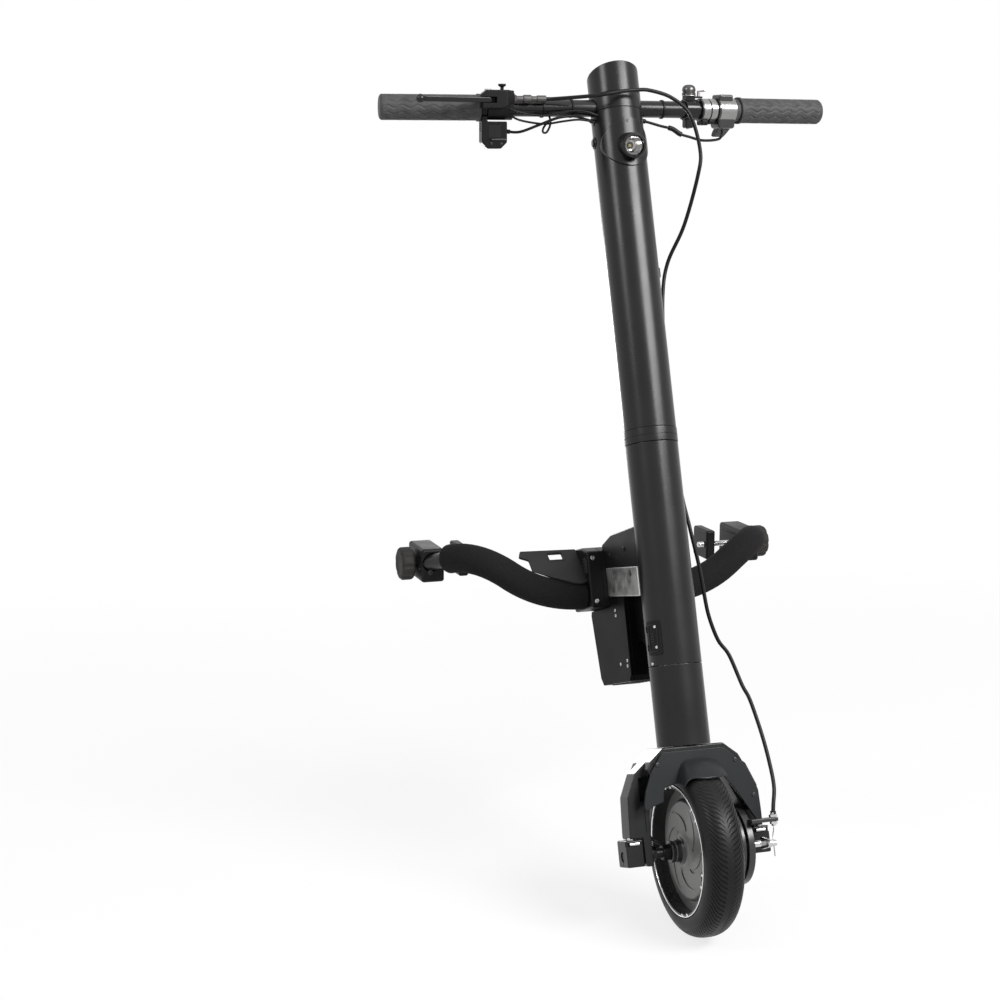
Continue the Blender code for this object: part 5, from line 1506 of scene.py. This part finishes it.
def hood_point(across, along, sink):
    """A point of the hood over the tyre: across -1 to 1, along 0 at the panel to 1 at the lip."""
    if across < 0:
        root_drop, lip_drop, pull, power = 0.0265, 0.0126, 0.0105, 5.0
    else:
        root_drop, lip_drop, pull, power = 0.0055, 0.0050, 0.0082, 2.5
    drop = (root_drop + (lip_drop - root_drop) * along) * abs(across) ** power
    radius = 0.1168 - 0.0056 * along - drop
    radius += 0.0020 * max(0.0, 1 - along / 0.16) ** 2
    reach = 0.0325 + (0.0682 - pull * across ** 2 - 0.0325) * along
    radius -= sink
    return Vector((HOOD_HALF * across, -reach, math.sqrt(radius ** 2 - reach ** 2)))


def hood_shape(columns=56, rows=22):
    """Thin curved hood with a rounded rim."""
    bm = bmesh.new()
    layers = []
    for share, shrink in ((0.0, 0.984), (0.15, 0.995), (0.5, 1.0), (0.85, 0.995), (1.0, 0.984)):
        layers.append([
            [
                hood_point((2 * column / columns - 1) * shrink,
                           row / rows * (shrink if row == rows else 1), HOOD_WALL * share)
                for column in range(columns + 1)
            ] for row in range(rows + 1)
        ])
    top, under = [[[bm.verts.new(spot) for spot in line] for line in grid]
                  for grid in (layers[0], layers[-1])]
    for sheet in (top, under):
        for row in range(rows):
            for column in range(columns):
                bm.faces.new((sheet[row][column], sheet[row][column + 1],
                              sheet[row + 1][column + 1], sheet[row + 1][column]))
    border = [(0, c) for c in range(columns + 1)]
    border += [(r, columns) for r in range(1, rows + 1)]
    border += [(rows, c) for c in range(columns - 1, -1, -1)]
    border += [(r, 0) for r in range(rows - 1, 0, -1)]
    loops = [[top[r][c] for r, c in border]]
    loops += [[bm.verts.new(grid[r][c]) for r, c in border] for grid in layers[1:-1]]
    loops.append([under[r][c] for r, c in border])
    for first, second in zip(loops, loops[1:]):
        for step in range(len(border)):
            ahead = (step + 1) % len(border)
            bm.faces.new((first[step], first[ahead], second[ahead], second[step]))
    bmesh.ops.recalc_face_normals(bm, faces=bm.faces)
    return bm


def fairing_shape():
    outline = [
        (-0.0438, 0.1225), (0.0350, 0.1222), (0.0420, 0.1192), (0.0610, 0.1004),
        (0.0682, 0.0922), (0.0789, 0.0660), (0.0798, 0.0407), (0.0797, 0.0260),
        (0.0735, 0.0270), (0.0624, 0.0454), (0.0529, 0.0611), (0.0447, 0.0738),
        (0.0375, 0.0818), (0.0335, 0.0890), (0.0300, 0.0975), (0.0240, 0.1045),
        (0.0120, 0.1085), (-0.0060, 0.1090), (-0.0150, 0.1065), (-0.0205, 0.1025),
        (-0.0240, 0.0965), (-0.0262, 0.0900), (-0.0268, 0.0835), (-0.0345, 0.0815),
        (-0.0447, 0.0795), (-0.0471, 0.0725), (-0.0483, 0.0624), (-0.0631, 0.0581),
        (-0.0715, 0.0531), (-0.0740, 0.0592), (-0.0705, 0.0762), (-0.0597, 0.1014),
        (-0.0561, 0.1055),
    ]
    back = -CROWN_DEPTH / 2 - GAP
    web_back = -LEG_DEPTH / 2 - GAP
    webs = [
        box((x, back - 0.002, low), (x + wide, web_back, high), 0.0008)
        for x, wide, low, high in (
            (-0.0560, 0.0050, 0.0640, 0.0940), (0.0650, 0.0060, 0.0420, 0.0860),
        )
    ]
    panel = slab(rounded_outline(outline, 0.0020, 3), FAIRING_FRONT, back, "xz", 0.0010, 3, 50)
    return joined(panel, *webs, hood_shape())


def dropout_pieces(name, side):
    """Split block that clamps an end of the axle, with its screws."""
    start, end = sorted((side * 0.0734, side * 0.0962))
    middle = (start + end) / 2
    left = start - 0.01
    right = end + 0.01
    stock = cut(
        box((start, -0.016, -0.013), (end, 0.016, 0.020), 0.0022, 4),
        rod_x(AXLE_HOLE, left, right, 48),
        box((left, -0.0006, -0.02), (right, 0.0006, 0)),
        box((left, -0.0180, 0.0125), (right, -0.0118, 0.0180)),
    )
    piece("dropout_block_" + name, stock, STEER, COLUMN_PAINT, "column",
          ["dropout_clamp_" + name])
    screws = together(
        rod_x(0.0024, middle - 0.0065, middle + 0.0065, 32, 0.0005, -0.0142, 0.0152),
        screw(0.0046, 0.0030, (middle + side * 0.0015, -0.0075, 0.0198), UP),
        screw(0.0030, 0.0022, (middle + side * 0.0015, 0.0085, 0.0198), UP),
    )
    piece("dropout_screws_" + name, screws, STEER, BRIGHT_STEEL, "column")


def fork_pieces():
    piece("fork_frame", fork_shape(), STEER, FORK_PAINT, "column", ["fork"], 30)
    piece("fairing_panel", fairing_shape(), STEER, FAIRING_PAINT, "column",
          ["fork_fairing"], 30)
    screws = [
        screw(0.0026, 0.0012, (x, FAIRING_FRONT + 0.0001, s), FORWARD)
        for x, s in ((-0.0520, 0.1080), (0.0520, 0.1050), (0.0720, 0.0600))
    ]
    piece("fairing_screws", together(*screws), STEER, DARK_STEEL, "column")
    for name, side in SIDES:
        dropout_pieces(name, side)


def round_the_stator(*shapes_of):
    """Copies of shapes, one set for each coil, about the wheel's axis."""
    shapes = []
    for step in range(COIL_COUNT):
        turn = turned(math.tau * step / COIL_COUNT, "Z")
        shapes += [moved(box(*row), turn) for row in shapes_of]
    return shapes


def axle_pieces():
    end = 0.0950
    core = 0.0605
    neck = -0.0353
    thin = 0.0060
    thick = 0.0098
    shaft = lathe([
        (0, end), (0.0052, end), (thin, end - 0.0008), (thin, core), (thick, core - 0.0003),
        (thick, neck + 0.0003), (thin, neck), (thin, -end + 0.0008), (0.0052, -end), (0, -end),
    ], 64)
    piece("axle_shaft", shaft, WHEEL, DARK_STEEL, "column", ["axle"])
    turn = turned(math.radians(14), "Z")
    fittings = together(
        ring(0.0100, AXLE_FIT, -0.0370, -0.0356, 56, 0.0003),
        hex_nut(0.0098, 0.0058, AXLE_FIT, placed(0, 0, -0.0430) @ turn),
        ring(0.0088, AXLE_FIT, -0.0446, -0.0432, 56, 0.0003),
        hex_nut(0.0098, 0.0052, AXLE_FIT, placed(0, 0, -0.0592) @ turn),
        ring(0.0112, AXLE_FIT, -0.0608, -0.0594, 56, 0.0003),
    )
    piece("axle_fittings", fittings, WHEEL, BLACK_NUT, "column")
    lead = smooth_route([
        (-0.0380, 0.0030, 0.0085), (-0.0450, 0.0060, 0.0125), (-0.0540, 0.0080, 0.0190),
        (-0.0590, 0.0060, 0.0300), (-0.0598, 0.0060, 0.0400),
    ], 0.002)
    piece("motor_lead", tube(lead, 0.0022, 16), STEER, CABLE_JACKET, "column")

    teeth = round_the_stator(
        ((0.0550, -0.0042, -0.0012), (0.0672, 0.0042, 0.0112), 0.0006),
        ((0.0664, -0.0105, -0.0012), (0.0698, 0.0105, 0.0112), 0.0006),
    )
    yoke = ring(0.0560, 0.0101, -0.0020, 0.0120, 120, 0.0004)
    piece("stator_core", together(yoke, *teeth), STEER @ ALONG_X, DARK_STEEL, "column",
          ["motor_stator"])
    coils = round_the_stator(((0.0572, -0.0078, -0.0028), (0.0658, 0.0078, 0.0128), 0.0022, 4))
    piece("stator_coils", together(*coils), STEER @ ALONG_X, COPPER_CORE, "column")


# Wheel

RIM_HALF = 0.0246
RIM_RADIUS = 0.0815
TYRE_HALF = 0.0249
TYRE_ROOT = 0.0850
SIPES = 104
SIPE_COLUMNS = 11
HUB_BORE = 0.0101
VALVE_ANGLE = math.radians(-32.2)


def tyre_radius(height):
    """Radius of the tyre's outside at a distance from its middle plane."""
    across = min(1.0, abs(height) / TYRE_HALF)
    cos_a = across ** 1.25
    sin_a = math.sqrt(max(0.0, 1 - cos_a ** 2))
    return TYRE_ROOT + (WHEEL_RADIUS - TYRE_ROOT) * sin_a ** 0.85


def tyre_shape():
    """Tyre whose slanting sipes run along the columns of its own mesh."""
    rows = 42
    heights = [TYRE_HALF * math.cos(math.pi * step / rows) for step in range(rows + 1)]
    inner = RIM_RADIUS + GAP
    profile = [(tyre_radius(height), height) for height in heights] + [
        (0.0832, -0.0247), (0.0826, -0.0242), (inner, -0.0235), (inner, 0.0235),
        (0.0826, 0.0242), (0.0832, 0.0247),
    ]
    count = SIPES * SIPE_COLUMNS

    def treaded(r, angle, z):
        column = round(angle / math.tau * count) % SIPE_COLUMNS
        across = 1.0 if r < TYRE_ROOT + 0.0002 else abs(z) / TYRE_HALF
        sink = 0.0
        if 0.10 < across < 0.93 and column < 2:
            sink = 0.0008 * min(1.0, (across - 0.10) * 12, (0.93 - across) * 12)
        if abs(across - 0.05) < 0.03:
            sink = max(sink, 0.0005)
        slant = 4.6 * across + 0.3 * math.sin(across * 9)
        return r - sink, angle - math.tau / SIPES * slant

    return reshaped(lathe(profile, count), treaded)


def hub_shell_shape():
    lip = RIM_RADIUS
    drum = 0.0490
    waist = 0.0484
    return lathe([
        (lip - 0.0008, RIM_HALF), (lip - 0.0002, RIM_HALF - 0.0002), (lip, RIM_HALF - 0.0008),
        (lip, -RIM_HALF + 0.0008), (lip - 0.0002, -RIM_HALF + 0.0002), (lip - 0.0008, -RIM_HALF),
        (0.0782, -RIM_HALF), (0.0777, -RIM_HALF + 0.0002), (0.0775, -RIM_HALF + 0.0007),
        (0.0775, 0.0150), (0.0125, 0.0150), (0.0125, 0.0265), (0.0430, 0.0265),
        (0.0430, 0.0478), (0.0434, 0.0485), (0.0482, 0.0485), (drum, 0.0477), (drum, 0.0440),
        (waist, 0.0434), (waist, 0.0420), (drum, 0.0414), (drum, 0.0380), (waist, 0.0374),
        (waist, 0.0360), (drum, 0.0354), (drum, 0.0275), (0.0498, 0.0262), (0.0520, 0.0256),
        (0.0735, 0.0217), (0.0748, 0.0222), (0.0758, 0.0236), (0.0762, 0.0243), (0.0768, RIM_HALF),
    ], 192)


def swirl(turn):
    """Banana outline of one relief in the cover, in the plane of the wheel."""
    outer = []
    inner = []
    for t in (step / 14 for step in range(15)):
        radius = 0.0265 + 0.0275 * t
        middle = math.radians(turn + 62 * t ** 1.3)
        half = 0.0042 * math.sin(math.pi * min(1.0, max(0.02, t))) ** 0.6 + 0.0004
        for line, angle in ((outer, middle + half / radius), (inner, middle - half / radius)):
            line.append((radius * math.cos(angle), radius * math.sin(angle)))
    return outer + inner[::-1]


def on_wheel(radius, angle, x=0.0):
    """A place at an angle above the forward direction, before the wheel leans with the fork."""
    return Vector((x, -radius * math.cos(angle), radius * math.sin(angle)))


def hub_cover_shape():
    pocket = 0.0125
    inside = -0.0045
    rim = 0.0772
    cover = lathe([
        (rim, inside), (rim, -0.0075), (0.0660, -0.0078), (0.0636, -0.0082), (0.0624, -0.0094),
        (0.0608, -0.0124), (0.0598, -0.0134), (0.0580, -0.0138), (0.0420, -0.0144),
        (0.0270, -0.0149), (0.0240, -0.0156), (0.0212, -0.0178), (0.0200, -0.0184),
        (0.0160, -0.0188), (0.0143, -0.0196), (0.0136, -0.0210), (0.0128, -0.0333),
        (0.0124, -0.0342), (0.0116, -0.0347), (HUB_BORE, -0.0347), (HUB_BORE, -0.0186),
        (pocket, -0.0186), (pocket, inside),
    ], 192)
    reliefs = [
        slab([(-y, z) for y, z in swirl(60 * step + 18)], -0.0200, -0.0133, "yz")
        for step in range(6)
    ]
    notch = rod(0.0075, on_wheel(0.0600, VALVE_ANGLE, -0.0086),
                on_wheel(0.0600, VALVE_ANGLE, -0.0200), 40)
    return cut(moved(cover, ALONG_X), *reliefs, moved(notch, LEANING))


def wheel_pieces():
    piece("tyre_tread", tyre_shape(), WHEEL, TYRE_RUBBER, "wheel", ["tyre"], 55)
    piece("motor_shell", hub_shell_shape(), WHEEL, HUB_PAINT, "wheel",
          ["hub_shell"])
    piece("motor_cover", hub_cover_shape(), AXLE, COVER_GREY, "wheel",
          ["hub_cover"])
    lip = lathe([
        (0.0797, -0.0240), (0.0798, -0.0247), (0.0802, -0.0252), (0.0808, -0.0252),
        (0.0813, -0.0248), (0.0814, -0.0240),
    ], 240)
    piece("rim_lip", lip, WHEEL, RIM_BRIGHT, "wheel")
    neck = lathe([
        (HUB_BORE, -0.0348), (0.0122, -0.0349), (0.0131, -0.0342), (0.0134, -0.0330),
        (0.0134, -0.0296), (0.0130, -0.0292), (0.0130, -0.0282), (0.0134, -0.0278),
        (0.0138, -0.0222), (0.0150, -0.0206), (0.0168, -0.0196), (0.0172, -0.0189),
        (HUB_BORE, -0.0189),
    ], 96)
    piece("hub_neck", neck, WHEEL, HUB_PAINT, "wheel")
    angles = [math.radians(start - 60 * step) for step in range(6) for start in (39.7, 28.0)]
    heads = [screw(0.0018, 0.0014, on_wheel(0.0784, a, -0.0244), LEFT, 0.4) for a in angles]
    piece("rim_screws", together(*heads), STEER, RIM_BRIGHT, "wheel")
    stem = together(
        rod(0.0026, on_wheel(0.0740, VALVE_ANGLE, -0.0120), on_wheel(0.0660, VALVE_ANGLE, -0.0150),
            24, 0.0005),
        rod(0.0032, on_wheel(0.0680, VALVE_ANGLE, -0.0142), on_wheel(0.0630, VALVE_ANGLE, -0.0161),
            24, 0.0006),
    )
    piece("valve_stem", stem, STEER, MOULDED_BLACK, "wheel")
    for name, low, high in (("left", -0.0180, -0.0085), ("right", 0.0155, 0.0260)):
        bearing("wheel_bearing_" + name, WHEEL, "wheel", low, high,
                ((0.0122, 0.0115), (0.0108, HUB_BORE)), (0.0116, 0.0107), 0.0008, 64,
                (0.0002, 0.0002))


# Drum brake

CAM_FORWARD = 0.0375
STOP_SPOT = (0.0885, -0.0475)
SHOE_LOW = 0.0290
SHOE_HIGH = 0.0460


def brake_plate():
    plate = moved(lathe([
        (0.0488, 0.0600), (0.0496, 0.0596), (0.0500, 0.0588), (0.0500, 0.0522), (0.0496, 0.0514),
        (0.0488, 0.0510), (HUB_BORE, 0.0510), (HUB_BORE, 0.0600), (0.0180, 0.0600),
        (0.0190, 0.0592), (0.0380, 0.0592), (0.0390, 0.0600),
    ], 128), ALONG_X)
    plate = joined(
        plate, box((0.0560, -0.0540, 0.0255), (0.0925, -0.0360, 0.0305), 0.0012),
        rod_x(0.0045, SHOE_LOW, 0.0520, y=CAM_FORWARD),
    )
    plate = cut(plate, rod_x(0.0043, 0.0410, 0.0700, 40, y=-CAM_FORWARD))
    piece("brake_plate", plate, STEER, HUB_PAINT, "column", ["brake_backing"])


def cable_end():
    """Stop of the brake cable on the plate, and the wire that goes on to the arm."""
    fittings = together(
        rod(0.0030, (*STOP_SPOT, 0.0200), (*STOP_SPOT, 0.0360), 28, 0.0003),
        hex_nut(0.0052, 0.0034, 0.0029, placed(*STOP_SPOT, 0.0306)),
        hex_nut(0.0048, 0.0030, 0.0029, placed(*STOP_SPOT, 0.0222)),
        hex_nut(0.0072, 0.0050, 0.0040, facing((0.0602, CAM_FORWARD, 0), RIGHT)),
    )
    piece("brake_cable_stop", fittings, STEER, BRIGHT_STEEL, "column")
    wire = smooth_route([
        (*STOP_SPOT, 0.0220), (0.0860, -0.0505, 0.0160), (0.0812, -0.0570, 0.0090),
        (0.0800, -0.0592, 0.0030), (0.0800, -0.0592, -0.0160),
    ], 0.0012)
    piece("brake_wire", tube(wire, 0.0008, 12), STEER, BRIGHT_STEEL, "column")


def cam_arm():
    place = STEER @ placed(0, -CAM_FORWARD, 0)
    pin_back = -0.0215
    tip = [(-0.0190, 0.0045), (-0.0232, 0.0043), (-0.0250, 0.0026)]
    outline = arc((0, 0), 0.0075, -90, 90, 16) + tip + [(-0.0255, 0.0)]
    outline += [(y, -z) for y, z in reversed(tip)]
    arm = joined(
        rod_x(0.0040, 0.0300, 0.0790, 40, 0.0004), slab(outline, 0.0740, 0.0775, "yz", 0.0006)
    )
    piece("cam_lever", arm, place, BRIGHT_STEEL, "brake_arm", ["brake_arm"])
    nuts = together(
        hex_nut(0.0062, 0.0036, 0.0038, facing((0.0776, 0, 0), RIGHT)),
        rod_x(0.0038, 0.0774, 0.0830, 32, 0.0004, pin_back),
        hex_nut(0.0050, 0.0030, 0.0, facing((0.0741, pin_back, 0), LEFT)),
    )
    piece("cam_nuts", nuts, place, BRIGHT_STEEL, "brake_arm")


def brake_shoe(name, start, end):
    """A shoe's web with its lining, each between two arcs about the axle."""
    place = STEER @ placed(0, CAM_FORWARD, 0)
    centre = (-CAM_FORWARD, 0)
    shorter = 8
    lining = arc(centre, 0.0422, start + shorter, end - shorter, 40)
    lining += arc(centre, 0.0385, end - shorter, start + shorter, 40)
    web = arc(centre, 0.0384, start, end, 40) + arc(centre, 0.0345, end, start, 40)
    lining = slab(lining, SHOE_LOW, SHOE_HIGH, "yz", 0.0004)
    piece("brake_lining_" + name, lining, place, BRAKE_LINING, "shoe_" + name)
    web = slab(web, SHOE_LOW + 0.001, SHOE_HIGH - 0.001, "yz", 0.0004)
    piece("brake_shoe_" + name + "_web", web, place, ALLOY_GREY, "shoe_" + name,
          ["brake_shoe_" + name])


# The whole unit

for build in (
    column_pieces, cap_pieces, lamp_pieces, power_button, battery, handlebar_tube, grips,
    brake_perch, brake_lever, parking_and_adjuster, control_pod, throttle, bell, cables,
    sleeve_pieces, charging_port, dock_block, latch_housing, docking_plate, controller_box,
    crossbar_and_foam,
):
    build()
for end, hand in SIDES:
    clamp_pieces(end, hand)
for build in (fork_pieces, axle_pieces, wheel_pieces, brake_plate, cable_end, cam_arm):
    build()
brake_shoe("upper", 10, 166)
brake_shoe("lower", 194, 350)


# Camera, light and floor

def camera():
    """The photograph's viewpoint, fitted to it with the wheel and the handlebar."""
    data = bpy.data.cameras.new("photo_view")
    data.lens = 68.24
    data.sensor_width = 36.0
    data.clip_start = 0.05
    data.clip_end = 50.0
    made = bpy.data.objects.new("photo_view", data)
    LOOKS.objects.link(made)
    azimuth = math.radians(-18.064)
    pitch = math.radians(10.054)
    roll = math.radians(0.131)
    made.matrix_world = (
        placed(-0.9273, -2.2171, 0.9459) @ turned(azimuth, "Z") @ turned(math.pi / 2 - pitch, "X")
        @ turned(roll, "Z")
    )
    bpy.context.scene.camera = made


def two_values(tree, operation, first, second):
    node = add_node(tree, "Math", {0: first, 1: second})
    node.operation = operation
    return node.outputs["Value"]


def shown_white(tree):
    """A value of 1 for the rays that show the background: camera, glossy and transmission."""
    path = tree.nodes.new("ShaderNodeLightPath").outputs
    either = two_values(tree, "MAXIMUM", path["Is Camera Ray"], path["Is Glossy Ray"])
    return two_values(tree, "MAXIMUM", either, path["Is Transmission Ray"])


def mixed(tree, share, first, second, end):
    """Blend two shaders into a surface output."""
    mix = add_node(tree, "MixShader", {"Fac": share, 1: first, 2: second})
    set_sockets(tree, end, {"Surface": mix.outputs["Shader"]})


def floor_finish():
    """Pale floor, shown nearly white round the object and white further out."""
    material = new_finish("floor_white", (0.86, 0.86, 0.86), 0.8, 0.0, 0.1)
    tree = material.node_tree
    away = add_node(tree, "VectorMath", {0: tree.nodes["place"].outputs["Object"]})
    away.operation = "LENGTH"
    spread = stretched(tree, away.outputs["Value"], (0.5, 2.2), (0.78, 1.0))
    share = two_values(tree, "MULTIPLY", spread, shown_white(tree))
    white = add_node(tree, "Emission", {"Color": (1, 1, 1, 1), "Strength": 1.0})
    mixed(tree, share, tree.nodes["Principled BSDF"].outputs["BSDF"], white.outputs["Emission"],
          tree.nodes["Material Output"])
    return material


def backdrop():
    """White floor and world that keep the object's shadow and an even, plain light on it."""
    bm = bmesh.new()
    bmesh.ops.create_grid(bm, x_segments=1, y_segments=1, size=30.0)
    mesh = bpy.data.meshes.new("floor")
    bm.to_mesh(mesh)
    bm.free()
    floor = bpy.data.objects.new("floor", mesh)
    LOOKS.objects.link(floor)
    mesh.materials.append(floor_finish())

    world = bpy.data.worlds.new("studio")
    bpy.context.scene.world = world
    world.use_nodes = True
    tree = world.node_tree
    tree.nodes.clear()
    lit, shown = [
        add_node(tree, "Background", {"Color": (1, 1, 1, 1), "Strength": strength}).outputs[0]
        for strength in (0.30, 1.0)
    ]
    mixed(tree, shown_white(tree), lit, shown, tree.nodes.new("ShaderNodeOutputWorld"))


def softbox(name, at, aim, width, height, power):
    data = bpy.data.lights.new(name, "AREA")
    data.shape = "RECTANGLE"
    data.size = width
    data.size_y = height
    data.energy = power
    lamp = bpy.data.objects.new(name, data)
    LOOKS.objects.link(lamp)
    course = (Vector(aim) - Vector(at)).normalized()
    lamp.matrix_world = placed(*at) @ course.to_track_quat("-Z", "Y").to_matrix().to_4x4()


camera()
backdrop()
softbox("key_right", (1.25, -2.1, 2.4), (0, 0, 0.75), 1.8, 0.95, 122)
softbox("fill_left", (-2.6, -0.7, 2.4), (0, 0, 0.7), 0.9, 1.0, 30)
softbox("overhead", (0, -0.3, 3.0), (0, 0, 0.5), 2.0, 2.0, 10)
softbox("back_glow", (0.15, 2.8, 0.42), (-0.05, -0.12, 0.22), 0.9, 0.5, 12)
bpy.context.scene.view_settings.view_transform = "Standard"
